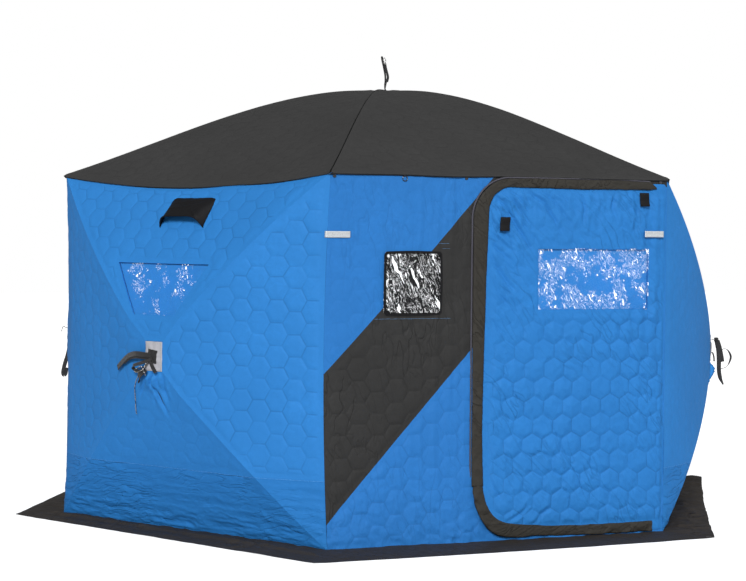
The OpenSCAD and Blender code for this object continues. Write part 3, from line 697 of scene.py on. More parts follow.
def strip(left, right, across, profile, thickness=0.0):
    """A band between two lines of points; profile(along, v) gives its height over the straight band."""
    left, right = np.asarray(left, float), np.asarray(right, float)
    n = len(left)
    v = np.linspace(0, 1, across)
    grid = left[:, None, :] * (1 - v)[None, :, None] + right[:, None, :] * v[None, :, None]
    along = length_of((left + right) / 2)
    run = np.gradient(grid, axis=0)
    side = np.gradient(grid, axis=1)
    out = np.cross(run, side)
    out /= np.maximum(np.linalg.norm(out, axis=2), 1e-12)[..., None]
    points = grid + out * profile(along[:, None] + 0 * v, v[None, :] + 0 * along[:, None])[..., None]
    width = float(np.linalg.norm(left - right, axis=1).mean())
    uv = np.stack([v[None, :] * width + 0 * along[:, None], along[:, None] + 0 * v[None, :]], axis=2)
    index = np.arange(n * across).reshape(n, across)
    quads = grid_faces(n, across)
    points, uv = points.reshape(-1, 3), uv.reshape(-1, 2)
    if thickness:
        back = points - out.reshape(-1, 3) * thickness
        ring = np.concatenate([index[:, 0], index[-1, 1:], index[-2::-1, -1], index[0, -2:0:-1]])
        after = np.roll(ring, -1)
        m = len(points)
        walls = np.stack([after, ring, ring + m, after + m], axis=1)
        quads = np.concatenate([quads, quads[:, ::-1] + m, walls[:, ::-1]])
        points, uv = np.concatenate([points, back]), np.concatenate([uv, uv])
    return plain(points, quads, uv)


def curve_through(points, n):
    """n points along a smooth curve through the given ones."""
    p = np.array(points, float)
    p = np.concatenate([[2 * p[0] - p[1]], p, [2 * p[-1] - p[-2]]])
    out = []
    for t in np.linspace(0, len(p) - 3 - 1e-9, n):
        i, f = int(t), t - int(t)
        a, b, c, d = p[i:i + 4]
        out.append(0.5 * (2 * b + (c - a) * f + (2 * a - 5 * b + 4 * c - d) * f * f
                          + (3 * b - a - 3 * c + d) * f ** 3))
    return np.array(out)


def ribbon(path, side, width, thickness=0.002, n=40, curl=0.0, taper=None):
    """A flat strap along a path; side is the direction of its width, one for all or one for each point."""
    line = curve_through(path, n)
    sides = curve_through(side, n) if np.ndim(side) == 2 else np.tile(np.array(side, float), (n, 1))
    along = np.gradient(line, axis=0)
    along /= np.linalg.norm(along, axis=1)[:, None]
    sides = sides - along * (sides * along).sum(axis=1)[:, None]
    sides /= np.linalg.norm(sides, axis=1)[:, None]
    half = width / 2 * (np.ones(n) if taper is None else np.interp(np.linspace(0, 1, n), *taper))
    return strip(line - sides * half[:, None], line + sides * half[:, None], 5,
                 lambda s, v: curl * arch(v), thickness)


def tube(line, radius, sides=8):
    """A round tube along a line of points, with the UV round it and along it. Its last two faces close it."""
    along = np.gradient(line, axis=0)
    along /= np.maximum(np.linalg.norm(along, axis=1), 1e-12)[:, None]
    u = np.cross(along[0], [0.21, 0.37, 0.9])
    frames = []
    for t in along:
        u = u - t * (u @ t)
        u /= np.linalg.norm(u)
        frames.append((u, np.cross(t, u)))
    count = len(line)
    angle = np.linspace(0, 2 * math.pi, sides, endpoint=False)
    points = np.concatenate([at + radius * (np.cos(angle)[:, None] * u + np.sin(angle)[:, None] * v)
                             for at, (u, v) in zip(line, frames)])
    uv = np.stack([np.tile(angle * radius, count), np.repeat(length_of(line), sides)], axis=1)
    faces = []
    for start in range(0, (count - 1) * sides, sides):
        for k in range(sides):
            p, q = start + k, start + (k + 1) % sides
            faces.append((p, p + sides, q + sides, q))
    last = (count - 1) * sides
    return points, faces + [tuple(range(sides)), tuple(range(last + sides - 1, last - 1, -1))], uv


def tube_object(name, line, radius, mat, sides=8):
    points, faces, uv = tube(line, radius, sides)
    return mesh_object(name, points, faces, mat, uv)


def open_tube(line, radius, sides):
    """A tube without the faces that close its ends, as part of a piece."""
    points, faces, uv = tube(line, radius, sides)
    return plain(points, np.array(faces[:-2]), uv)


def stitches(name, lines, mat, pitch=0.008, length=0.0045, width=0.0011):
    """Rows of thread stitches along lines in space; each line comes with the way that its cloth faces."""
    points, faces = [], []
    for line, faced in lines:
        line = np.array(line, float)
        run = length_of(line)
        spots = np.arange(pitch / 2, run[-1], pitch)
        middle = np.stack([np.interp(spots, run, line[:, i]) for i in range(3)], axis=1)
        ahead = np.stack([np.interp(spots + 0.002, run, line[:, i]) for i in range(3)], axis=1)
        for m, q in zip(middle, ahead):
            t = q - m
            if np.linalg.norm(t) < 1e-6:
                continue
            t = t / np.linalg.norm(t)
            out = np.array(faced, float)
            s = np.cross(t, out)
            s /= max(np.linalg.norm(s), 1e-9)
            k = len(points)
            points += [m - t * length / 2, m + s * width / 2 + out * 0.0004, m + out * 0.0009,
                       m - s * width / 2 + out * 0.0004, m + t * length / 2]
            faces += [(k, k + 1, k + 2), (k, k + 2, k + 3), (k + 4, k + 2, k + 1), (k + 4, k + 3, k + 2)]
    return mesh_object(name, np.array(points), faces, mat, smooth=False)


# ---------------------------------------------------------------- the shape of the walls

def on_wall(k, u, w, z):
    """A point of wall k: u along it, w out from the straight wall, z up."""
    turn = math.radians(60 * k)
    u, w, z = np.broadcast_arrays(np.asarray(u, float), np.asarray(w, float), np.asarray(z, float))
    x, y = u, -(APOTHEM + w)
    return np.stack([x * math.cos(turn) - y * math.sin(turn), x * math.sin(turn) + y * math.cos(turn), z],
                    axis=-1)


def facing(k, lean=0.0):
    """The way that wall k faces, tipped up by lean."""
    turn = math.radians(60 * k)
    return np.array([math.sin(turn) * math.cos(lean), -math.cos(turn) * math.cos(lean), math.sin(lean)])


UPPER_LENGTH = math.hypot(WALL_TOP - PATCH_TOP, HUB_OUT)
LOWER_LENGTH = math.hypot(PATCH_FOOT, HUB_OUT)
SIDE_LENGTH = math.hypot(HALF - PATCH_HALF, HUB_OUT)
BAND_T = 1 - BAND / PATCH_FOOT
HOLLOW = 0.009                               # the taut cloth lies this much inside the straight lines


def crease_u(t):
    return mix(PATCH_HALF, HALF, t)


BAND_HALF, BAND_B = crease_u(BAND_T), LOWER_LENGTH * (1 - BAND_T)     # where the band's top meets the creases


def upper_w(t, k):
    bow = 0.0 if k == REAR_LEFT else UPPER_BOW   # this wall is pulled straight
    return mix(HUB_OUT, 0, t) + bow * arch(t)


def lower_w(t, k):
    """The front right wall's cloth hangs fuller below its hub, and the rear left wall is pulled straight."""
    full = {FRONT_RIGHT: 0.03, REAR_LEFT: -LOWER_BOW}.get(k, 0.0)
    return mix(HUB_OUT, 0, t) + (LOWER_BOW + full) * arch(t)


def upper_z(t):
    return mix(PATCH_TOP, WALL_TOP, t)


def lower_z(t):
    return mix(PATCH_FOOT, 0, t)


def drift(t):
    """The creases lie a little to the left of the straight lines between hub and corners."""
    return -0.022 * smoothstep(t / 0.15) * (1 - np.clip(t, 0, 1) ** 4)


def toward(azimuth, reach):
    return np.array([math.cos(math.radians(azimuth)) * reach, math.sin(math.radians(azimuth)) * reach, 0.0])


# The taut walls pull the seams at the corners this way, halfway up. The flat front wall pulls least
PULLS = [toward(120, 0.030), toward(60, 0.030), toward(180, 0.045), toward(240, 0.045), toward(300, 0.045),
         toward(-60, 0.038)]


def pulled(k, u, w, z, t, share):
    """A point of wall k, moved with the seam at the nearer corner."""
    corner = np.where(np.broadcast_to(u, np.shape(z)) > 0, (k + 1) % 6, k)
    size = arch(np.clip(z / WALL_TOP, 0, 1)) * np.clip(t, 0, 1) ** 4 * share
    return on_wall(k, u, w, z) + np.array(PULLS)[corner] * np.asarray(size)[:, None]


def upper_place(k):
    def place(a, b):
        t = b / UPPER_LENGTH
        s = np.clip(a / crease_u(t), -1, 1)
        z = upper_z(t) - EAVE_DIP * np.clip(t, 0, 2) ** 4 * (1 - s * s)
        w = upper_w(t, k) - HOLLOW * (1 - s * s) * arch(np.clip(t, 0, 1))
        return pulled(k, a + drift(t), w, z, t, np.abs(s) ** 4)
    return place


def lower_place(k):
    """b runs up from the floor, so that every panel faces outward."""
    def place(a, b):
        t = 1 - b / LOWER_LENGTH
        s = np.clip(a / crease_u(t), -1, 1)
        w = lower_w(t, k) - HOLLOW * (1 - s * s) * arch(np.clip(t, 0, 1))
        return pulled(k, a + drift(t), w, lower_z(t), t, np.abs(s) ** 4)
    return place


def side_place(k):
    """a runs out from the hub, to the right or, below zero, to the left; b is the height."""
    def place(a, b):
        t = np.abs(a) / SIDE_LENGTH
        share = np.clip((b - lower_z(t)) / (upper_z(t) - lower_z(t)), 0, 1)
        w = mix(lower_w(t, k), upper_w(t, k), share) - HOLLOW * arch(share) * arch(np.clip(t, 0, 1))
        u = np.sign(a) * crease_u(t) + drift(t)
        return pulled(k, u, w, b, t, 1.0)
    return place


def front_place(a, b):
    """The flat wall with the door."""
    w = -0.004 * arch(np.clip(b / WALL_TOP, 0, 1)) * arch(np.clip((a + HALF) / (DOOR_LEFT + HALF), 0, 1))
    return pulled(FRONT, a, w, b, np.abs(a) / HALF, 1.0)


def door_bulge(a, b):
    """The free lower corner of the door stands away from the wall, and the door hangs a little full."""
    corner = 0.016 * np.exp(-(((a + 0.03) / 0.16) ** 2 + ((b - 0.1) / 0.16) ** 2))
    belly = 0.006 * arch(np.clip((a - DOOR_LEFT) / (DOOR_RIGHT - DOOR_LEFT), 0, 1)) * \
        arch(np.clip(b / DOOR_TOP, 0, 1))
    return corner + belly


def door_place(a, b):
    out = DOOR_OUT * smoothstep((HALF - a) / 0.03) + door_bulge(a, b)
    return pulled(FRONT, a, out, b, np.abs(a) / HALF, 1.0)


def arc(cx, cz, rx, rz, start, end, n=10):
    return [(cx + rx * math.cos(math.radians(v)), cz + rz * math.sin(math.radians(v)))
            for v in np.linspace(start, end, n)]


def rounded_box(a0, b0, a1, b1, r):
    return (arc(a1 - r, b0 + r, r, r, -90, 0, 6) + arc(a1 - r, b1 - r, r, r, 0, 90, 6)
            + arc(a0 + r, b1 - r, r, r, 90, 180, 6) + arc(a0 + r, b0 + r, r, r, 180, 270, 6))


FLAT_SHARE = 0.97                            # a creased mesh's cloth laid flat, over the mesh's area


def belong(piece, body, slot_name, *nodes):
    """The piece moves with a body and stands for CAD nodes, which it hides; its slot is not used."""
    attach(piece, body)
    if nodes:
        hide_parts(*nodes)


def panels_area(parts):
    return sum(p["area"] for p in parts)


def cord(name, points, count, radius, mat, *nodes):
    """A free cord along a smooth curve of count points through the given ones."""
    line = curve_through(points, count)
    piece = tube_object(name, line, radius, mat)
    float(length_of(line)[-1])
    belong(piece, "shelter", "cord", *nodes)


# ---------------------------------------------------------------- hub walls

def up_facet(z):
    """How far up a hub wall's upper facet a height lies."""
    return (z - PATCH_TOP) / (WALL_TOP - PATCH_TOP) * UPPER_LENGTH


def window_ring(margin=0.0):
    """The outline of a hub wall's window in its upper facet, grown by a margin."""
    foot, head = up_facet(WINDOW_Z0) - margin, up_facet(WINDOW_Z1) + margin
    lower, upper = WINDOW_FOOT + margin * 1.25, WINDOW_HEAD + margin * 1.25
    return [(-lower, foot), (lower, foot), (upper, head), (-upper, head)]


def vent_ring():
    """The outline of the opening under a vent hood."""
    left, right, top = -0.01, 0.13, up_facet(1.53)
    return [(left, top - 0.05), (right, top - 0.05), (right, top), (left, top)]


def facet_outlines():
    """A hub wall's upper, lower and right facet, and its band: the middle, and the corner to the right."""
    crease_a = BAND_T * SIDE_LENGTH
    upper = [(-PATCH_HALF, 0), (PATCH_HALF, 0), (HALF, UPPER_LENGTH), (-HALF, UPPER_LENGTH)]
    lower = [(-BAND_HALF, BAND_B), (BAND_HALF, BAND_B), (PATCH_HALF, LOWER_LENGTH),
             (-PATCH_HALF, LOWER_LENGTH)]
    right = [(0.0001, PATCH_FOOT), (crease_a, BAND), (SIDE_LENGTH, BAND), (SIDE_LENGTH, WALL_TOP),
             (0.0001, PATCH_TOP)]
    foot = [(-HALF, 0), (HALF, 0), (BAND_HALF, BAND_B), (-BAND_HALF, BAND_B)]
    corner = [(crease_a, BAND), (SIDE_LENGTH, 0), (SIDE_LENGTH, BAND)]
    return upper, lower, right, foot, corner


def mirrored(outline):
    return [(-a, b) for a, b in outline]


def hub_gathers(seed):
    """Folds that run down from the patch, where the cloth is pulled tight over the hub."""
    rng = np.random.default_rng(seed)
    top = LOWER_LENGTH
    folds = []
    for i, start in enumerate(np.linspace(-0.042, 0.046, 7)):
        length = 0.08 + 0.11 * rng.random()
        slant = start * 1.2 + 0.02 * rng.normal()
        folds.append(([(start, top), (start + slant * 0.4, top - length * 0.5),
                       (start + slant, top - length)],
                      0.007 + 0.003 * rng.random(), 0.009 * (1 if i % 2 else -1)))
    folds.append(([(-0.008, top), (-0.012, top - 0.06), (0.022, top - 0.11), (0.05, top - 0.19),
                   (0.075, top - 0.235)], 0.009, -0.013))
    return folds


def hub_bulge(a, b):
    """The gathered cloth stands out just below the patch."""
    return 0.013 * np.exp(-((a / 0.055) ** 2 + ((b - LOWER_LENGTH + 0.045) / 0.04) ** 2))


def ridges(a, b, size, seed):
    """Sharp creases between smooth hollows, from -1 to 1."""
    return 1 - 2 * np.abs(rough_noise(a, b, size, seed)) ** 0.8


def band_creases(k, corner=False):
    """Creases along the band at the foot of a hub wall, and its wavy hem."""
    def relief(a, b):
        height = b if corner else b / LOWER_LENGTH * PATCH_FOOT
        near_hem = 1 - smoothstep(height / 0.2)
        long_ones = 0.0046 * ridges(a * 0.26, b * 1.5, 0.060, 4 + k) * (0.4 + near_hem)
        small = 0.0024 * ridges(a * 0.5 + b * 0.5, b * 1.6, 0.034, 14 + k) * (0.3 + near_hem)
        hem = 0.005 * rough_noise(a, b * 0.3, 0.08, 9) * (1 - smoothstep(height / 0.06))
        held = smoothstep((BAND - height) / 0.03)
        return (long_ones + small + hem) * held
    return relief


def hub_wall(k):
    name = HUB_WALLS[k]
    fineness = 6 if k in (FRONT_LEFT, FRONT_RIGHT) else 4
    upper, lower, right, foot, corner = facet_outlines()
    vents = [vent_ring()] if k in VENT_WALLS else []
    openings = [window_ring()] + vents
    settings = {"puff": 0.0036, "fineness": fineness, "seed": 10 * k, "crisp": 5.0, "hem": 0.02, "sewn": True}
    clear = 0.25 if k == FRONT_RIGHT else 1.0    # this wall is pulled tighter than the others
    shell = [panel(upper, upper_place(k), holes=openings, marked=lambda a, b: clear, **settings),
             panel(lower, lower_place(k), folds=hub_gathers(k), relief=hub_bulge,
                   marked=lambda a, b: 0.3 * clear, **settings),
             panel(right, side_place(k), marked=lambda a, b: clear, **settings),
             panel(mirrored(right), side_place(k), marked=lambda a, b: 0.6 * clear, **settings)]
    shell += [rim(ring, upper_place(k), 0, -WALL_T) for ring in openings]
    wall = joined(name + "_cloth", shell, BLUE_SIDE)
    band_settings = {"fineness": 9 if k == FRONT_LEFT else 6, "hem": 0.004, "sewn": True}
    band = joined(name + "_band", [
        panel(foot, lower_place(k), relief=band_creases(k), **band_settings),
        panel(corner, side_place(k), relief=band_creases(k, True), **band_settings),
        panel(mirrored(corner), side_place(k), relief=band_creases(k, True), **band_settings)], BLUE_BAND)
    t, flat = np.linspace(0.002, 1, 200), np.ones(200)
    down, ahead = facing(k, -0.3), facing(k)
    lines = [(lower_place(k)(mix(-BAND_HALF, BAND_HALF, t), BAND_B * flat) + down * 0.001, down)]
    lines += [(side_place(k)(sign * mix(BAND_T * SIDE_LENGTH, SIDE_LENGTH, t), BAND * flat) + ahead * 0.001,
               ahead)
              for sign in (-1, 1)]
    seam = stitches(name + "_seam", lines, PALE_THREAD, pitch=0.006, length=0.0044, width=0.0016)
    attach(seam, "shelter")
    inner = [turned(panel(ring, place(k), puff=0.004, fineness=2.5, lift=-WALL_T - 0.002, seed=3, sewn=True,
                          holes=openings if ring is upper else ()))
             for ring, place in ((upper, upper_place), (lower, lower_place), (right, side_place),
                                 (mirrored(right), side_place), (foot, lower_place), (corner, side_place),
                                 (mirrored(corner), side_place))]
    lining = joined(name + "_lining", inner, LINING)
    for piece, slot_name, area in ((wall, "blue_quilt", panels_area(shell)),
                                   (lining, "charcoal_quilt", panels_area(inner)),
                                   (band, "blue_quilt", outline_area(foot) + 2 * outline_area(corner))):
        belong(piece, "shelter", slot_name)
    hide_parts(name)


def outline_area(ring):
    r = np.array(ring)
    s = np.roll(r, -1, axis=0)
    return abs(float((r[:, 0] * s[:, 1] - s[:, 0] * r[:, 1]).sum())) / 2


for wall_index in HUB_WALLS:
    hub_wall(wall_index)


def crinkles(size, depth, seed):
    """Sharp little folds, as in vinyl that has been packed away."""
    def relief(a, b):
        return depth * (1 - 2 * np.abs(rough_noise(a, b, size, seed))) + \
            depth * 0.6 * (1 - 2 * np.abs(rough_noise(a + 0.7 * b, b, size * 0.6, seed + 4)))
    return relief


def wall_windows():
    panes = [panel(window_ring(PANE_LAP), upper_place(k), fineness=7, lift=-0.004, groove=0,
                   relief=crinkles(0.07, 0.0016, k)) for k in HUB_WALLS]
    pane = joined("window_vinyl", panes, CALM_VINYL)
    covers = [panel(window_ring(COVER_LAP), upper_place(k), fineness=4, lift=-WALL_T - 0.004, groove=0,
                    relief=lambda a, b: 0.0012 * rough_noise(a, b, 0.05)) for k in HUB_WALLS]
    cover = joined("window_covers", covers, BLUE_COVER)
    for piece, node, slot_name, parts in ((pane, "wall_window_panes", "clear_vinyl", panes),
                                          (cover, "wall_window_covers", "blue_cover", covers)):
        panels_area(parts)
        belong(piece, "shelter", slot_name, node)


wall_windows()


# ---------------------------------------------------------------- front wall

def d_shape(x0, x1, z0, z1):
    """The D-shaped doorway's outline, anticlockwise from its lower right corner."""
    top, foot = DOOR_TOP_R, DOOR_FOOT_R
    return [(x1, z0), (x1, z1)] + arc(x0 + top, z1 - top, top, top, 90, 180, 14) + \
        arc(x0 + foot, z0 + foot, foot, foot, 180, 270, 14)


DIAGONAL_RISE = 1.12
UPPER_SEAM = WALL_TOP - 0.073                # where the seam over the black panel passes the doorway
LOWER_SEAM = UPPER_SEAM - 0.653              # and the seam under it


def seam_z(at_door, x):
    return at_door + (x - DOOR_LEFT) * DIAGONAL_RISE


def box_of(node, margin=0.0):
    """A front node's left, foot, right and top, grown by a margin."""
    return low(node).x - margin, low(node).z - margin, high(node).x + margin, high(node).z + margin


def square_window(margin=0.0):
    return rounded_box(*box_of("front_window_pane", margin), 0.014)


def front_hem(a, b):
    """The creased cloth along the ground, and soft upright folds beside the door."""
    low_down = 1 - smoothstep((b - 0.03) / 0.34)
    creased = 0.0042 * ridges(a * 0.9 + b * 0.4, b * 1.1, 0.10, 12) * low_down
    fine = 0.0022 * ridges(a, b, 0.045, 22) * low_down
    hem = 0.006 * rough_noise(a, b * 0.5, 0.09, 2) * (1 - smoothstep(b / 0.08))
    beside = np.exp(-((a - DOOR_LEFT + 0.10) / 0.07) ** 2)
    upright = 0.004 * beside * ridges(a * 2.4, b * 0.22, 0.11, 6)
    hanging = 0.0022 * ridges(a * 1.5, b * 0.22, 0.11, 16) * (0.4 + smoothstep((a + 0.55) / 0.2))
    return creased + fine + hem + upright + hanging


def front_wall():
    way = d_shape(DOOR_LEFT, DOOR_RIGHT, DOOR_FOOT, DOOR_TOP)
    left_side = [p for p in way[2:] if p[1] > LOWER_SEAM]
    top_x = DOOR_LEFT + (WALL_TOP - UPPER_SEAM) / DIAGONAL_RISE
    upper = [(-HALF, seam_z(UPPER_SEAM, -HALF)), (top_x, WALL_TOP), (-HALF, WALL_TOP)]
    black = [(-HALF, seam_z(UPPER_SEAM, -HALF)), (-HALF, seam_z(LOWER_SEAM, -HALF)),
             (DOOR_LEFT, LOWER_SEAM)] + \
        left_side[::-1] + [(DOOR_RIGHT, DOOR_TOP), (HALF, DOOR_TOP), (HALF, WALL_TOP), (top_x, WALL_TOP)]
    down = [p for p in way[2:] if p[1] < LOWER_SEAM]
    lower = [(-HALF, 0), (HALF, 0), (HALF, DOOR_TOP), (DOOR_RIGHT, DOOR_TOP), (DOOR_RIGHT, DOOR_FOOT)] + \
        down[::-1] + [(DOOR_LEFT, LOWER_SEAM), (-HALF, seam_z(LOWER_SEAM, -HALF))]
    window = square_window()
    settings = {"puff": 0.004, "fineness": 7, "relief": front_hem, "wave": 0.002, "crisp": 3.4,
                "groove": 0.0006, "marked": lambda a, b: 0.35 + 0.65 * smoothstep((1.0 - b) / 0.3)}
    blue_parts = [panel(upper, front_place, holes=[window], flats=[box_of("reflector", 0.01)], seed=1,
                        **settings),
                  panel(lower, front_place, seed=2, **settings),
                  rim(way, front_place, 0, -WALL_T)]
    black_parts = [panel(black, front_place, holes=[window], seed=5, **settings),
                   rim(window, front_place, 0, -WALL_T)]
    blue = joined("front_wall_blue", blue_parts, BLUE_FRONT)
    dark = joined("front_wall_black", black_parts, CHARCOAL)
    whole = [(-HALF, 0), (HALF, 0), (HALF, WALL_TOP), (-HALF, WALL_TOP)]
    inner = turned(panel(whole, front_place, puff=0.004, fineness=3, lift=-WALL_T - 0.002,
                         holes=[way, window], seed=8))
    lining = joined("front_wall_lining", [inner], LINING)
    for piece, slot_name, parts in ((blue, "blue_quilt", blue_parts), (dark, "charcoal_quilt", black_parts),
                                    (lining, "charcoal_quilt", [inner])):
        panels_area(parts)
        belong(piece, "shelter", slot_name)
    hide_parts("front_wall_upper", "front_wall_lower", "front_wall_jamb", "front_wall_sill")
    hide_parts("front_wall_diagonal", "front_wall_header")


front_wall()


def front_window():
    pane_part = panel(square_window(PANE_LAP), front_place, fineness=9, lift=-0.003, groove=0,
                      relief=crinkles(0.06, 0.0018, 31))
    pane = joined("square_window_vinyl", [pane_part], CREASED_VINYL)
    cover_part = panel(square_window(COVER_LAP), front_place, fineness=4, lift=-WALL_T - 0.004, groove=0,
                       relief=lambda a, b: 0.0015 * rough_noise(a, b, 0.05))
    cover = joined("square_window_cover", [cover_part], BLACK)
    ring_in = spaced(np.array(square_window(-0.006)), 0.012)
    centre = ring_in.mean(axis=0)
    ring_out = ring_in + (ring_in - centre) / np.linalg.norm(ring_in - centre, axis=1)[:, None] * 0.013
    closed_in, closed_out = np.vstack([ring_in, ring_in[:1]]), np.vstack([ring_out, ring_out[:1]])
    band = strip(on_wall(FRONT, closed_in[:, 0], 0.0015, closed_in[:, 1]),
                 on_wall(FRONT, closed_out[:, 0], 0.0015, closed_out[:, 1]), 6,
                 lambda s, v: 0.0022 * arch(v))
    trim = joined("square_window_binding", [band], BLACK)
    x0, z0, x1, z1 = box_of("front_window_pane")
    rows = [[(x0 - 0.042, z0 - 0.021), (x1 + 0.048, z0 - 0.019)],
            [(x1 + 0.004, z1 + 0.018), (x1 + 0.048, z1 + 0.018), (x1 + 0.048, z1 + 0.040),
             (x1 - 0.01, z1 + 0.040)]]
    lines = []
    for row in rows:
        flat = spaced(np.array(row), 0.01, closed=False)
        lines.append((front_place(flat[:, 0], flat[:, 1]) - np.array([0, 0.0045, 0]), (0, -1, 0)))
    thread = stitches("square_window_stitches", lines, PALE_THREAD, pitch=0.006, length=0.0045, width=0.0016)
    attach(thread, "shelter")
    for piece, node, slot_name, part in ((pane, "front_window_pane", "clear_vinyl", pane_part),
                                         (cover, "front_window_cover", "black_cloth", cover_part)):
        belong(piece, "shelter", slot_name, node)
    belong(trim, "shelter", "black_cloth", "front_window_frame")


front_window()


# ---------------------------------------------------------------- door

def door_window(margin=0.0):
    a0, b0, a1, b1 = box_of("door_window_pane", margin)
    return [(a0, b0), (a1, b0), (a1, b1), (a0, b1)]


def door_outline():
    """The door's cloth laps a little over the wall above and below it, and runs on to the corner seam."""
    return d_shape(DOOR_LEFT + DOOR_OUT, HALF, DOOR_FOOT - 0.006, DOOR_TOP + 0.012)


# Folds in the door's cloth that run in from its free edge: points, width and height
DOOR_FOLDS = [
    ([(-0.045, 1.54), (0.00, 1.50), (0.045, 1.43), (0.13, 1.31), (0.16, 1.25)], 0.009, -0.009),
    ([(-0.03, 1.555), (0.03, 1.515), (0.08, 1.45), (0.13, 1.39), (0.17, 1.35)], 0.007, 0.007),
    ([(0.01, 1.575), (0.06, 1.545), (0.10, 1.50), (0.13, 1.44)], 0.007, -0.007),
    ([(0.06, 1.578), (0.085, 1.55), (0.10, 1.53)], 0.006, 0.006),
    ([(0.10, 1.575), (0.19, 1.52), (0.26, 1.42), (0.31, 1.35)], 0.009, -0.008),
    ([(0.16, 1.575), (0.24, 1.53), (0.30, 1.46), (0.36, 1.38)], 0.008, -0.006),
    ([(0.22, 1.575), (0.29, 1.53), (0.34, 1.47)], 0.008, 0.005),
    ([(-0.078, 1.46), (-0.03, 1.40), (0.02, 1.36), (0.06, 1.34)], 0.008, -0.008),
    ([(-0.078, 1.40), (-0.02, 1.36), (0.03, 1.32), (0.08, 1.30)], 0.007, 0.006),
    ([(-0.078, 1.36), (-0.04, 1.31), (0.03, 1.26), (0.10, 1.18)], 0.008, -0.007),
    ([(-0.08, 1.31), (-0.05, 1.24), (0.02, 1.15), (0.09, 1.09)], 0.009, -0.007),
    ([(-0.082, 1.25), (-0.05, 1.18), (0.00, 1.11), (0.05, 1.06)], 0.008, 0.005),
    ([(-0.084, 1.18), (-0.03, 1.10), (0.05, 1.03)], 0.010, -0.006),
    ([(-0.086, 1.05), (-0.05, 0.97), (0.03, 0.90)], 0.010, -0.005),
    ([(-0.09, 0.92), (-0.06, 0.86), (-0.02, 0.82)], 0.009, 0.004),
    ([(-0.092, 0.70), (-0.06, 0.64), (0.0, 0.60)], 0.009, -0.005),
    ([(0.36, 1.578), (0.40, 1.50), (0.39, 1.40)], 0.010, -0.006),
    ([(0.46, 1.578), (0.47, 1.52), (0.45, 1.46)], 0.009, 0.004),
    ([(0.56, 1.578), (0.54, 1.50), (0.58, 1.40)], 0.010, -0.006),
    ([(0.64, 1.57), (0.65, 1.46), (0.63, 1.36)], 0.010, 0.005),
    ([(-0.085, 0.33), (-0.05, 0.25), (0.01, 0.16)], 0.009, -0.007),
    ([(-0.09, 0.52), (-0.07, 0.42), (-0.05, 0.34)], 0.009, -0.006),
    ([(0.02, 0.085), (0.09, 0.12), (0.15, 0.18)], 0.010, -0.006),
    ([(0.16, 0.07), (0.20, 0.12), (0.27, 0.16)], 0.010, -0.004),
]


def under_flap(points):
    """No quilting where the storm flap lies over the door."""
    free = np.array(door_outline()[1:] + door_outline()[:1])
    return smoothstep((distance_to(points, free, closed=False) - 0.040) / 0.03)


def door_relief(a, b):
    """Upright pleats beside the sewn edge, cramped cloth towards the top left, and creases in between."""
    waves = np.sin((a - 0.60) / 0.21 * 2 * math.pi * 3 + 1.5 * smooth_noise(a, b, 0.4, 3))
    pleats = 0.0035 * waves * smoothstep((a - 0.60) / 0.06) * smoothstep((HALF - a) / 0.04) * \
        smoothstep((b - 0.55) / 0.5)
    cramped = smoothstep((0.55 - a) / 0.6) * smoothstep((b - 0.55) / 0.7)
    slanted = 0.0058 * ridges(a * 1.25 + b * 0.95, (b - a) * 0.2, 0.070, 14) * cramped
    creases = 0.0026 * ridges(a + 0.7 * b, (b - a) * 0.5, 0.055, 19)
    upper = 0.0036 * ridges(a * 1.9, b * 0.4, 0.075, 29) * smoothstep((b - 1.25) / 0.2)
    slack = 0.003 * rough_noise(a, b, 0.16, 33)
    return (pleats + slanted + creases + upper + slack) * smoothstep((HALF - a) / 0.03)


def door_marks(a, b):
    """The quilting shows low down; higher up, and towards the top left, folds pull it flat."""
    return 0.22 + 0.78 * smoothstep((1.12 - b + 0.35 * (a - 0.3)) / 0.35)


def door():
    ring, window = door_outline(), door_window()
    part = panel(ring, door_place, puff=0.0085, fineness=9, flat_top=False, holes=[window],
                 flats=[box_of("door_reflector", 0.008)], folds=DOOR_FOLDS, relief=door_relief, crisp=2.6,
                 still=under_flap, hem=0.012, seed=70, marked=door_marks)
    edges = [rim(ring, door_place, 0, -WALL_T), rim(window, door_place, 0, -WALL_T)]
    skin = joined("door_cloth", [part] + edges, BLUE)
    inner = turned(panel(ring, door_place, puff=0.004, fineness=3, flat_top=False, holes=[window],
                         lift=-WALL_T - 0.004, seed=75))
    lining = joined("door_lining", [inner], LINING)
    for piece, slot_name, area in ((skin, "blue_quilt", part["area"]),
                                   (lining, "charcoal_quilt", inner["area"])):
        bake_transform(piece)
    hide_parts("door_panel")
    pane_part = panel(door_window(PANE_LAP), door_place, fineness=9, flat_top=False, lift=-0.004, groove=0,
                      relief=crinkles(0.075, 0.0026, 41))
    pane = joined("door_window_vinyl", [pane_part], VINYL)
    cover_part = panel(door_window(COVER_LAP), door_place, fineness=4, lift=-WALL_T - 0.002, groove=0,
                       relief=lambda a, b: 0.0015 * rough_noise(a, b, 0.06))
    cover = joined("door_window_cloth", [cover_part], BLUE_COVER)
    for piece, node, slot_name, made in ((pane, "door_window_pane", "clear_vinyl", pane_part),
                                         (cover, "door_window_cover", "blue_cover", cover_part)):
        belong(piece, "door", slot_name, node)


door()


# ---------------------------------------------------------------- roof

GORE_LENGTH = math.hypot((SIDE - ROOF_INNER) * COS_30, PEAK - EAVE) + 0.015


def ridge_r(t):
    return mix(ROOF_INNER, SIDE, t)


def ridge_z(t):
    dome = 0.25 * arch(t) + 5.7 * t * (1 - t) ** 2
    return mix(PEAK, EAVE, t) + ROOF_BOW * dome


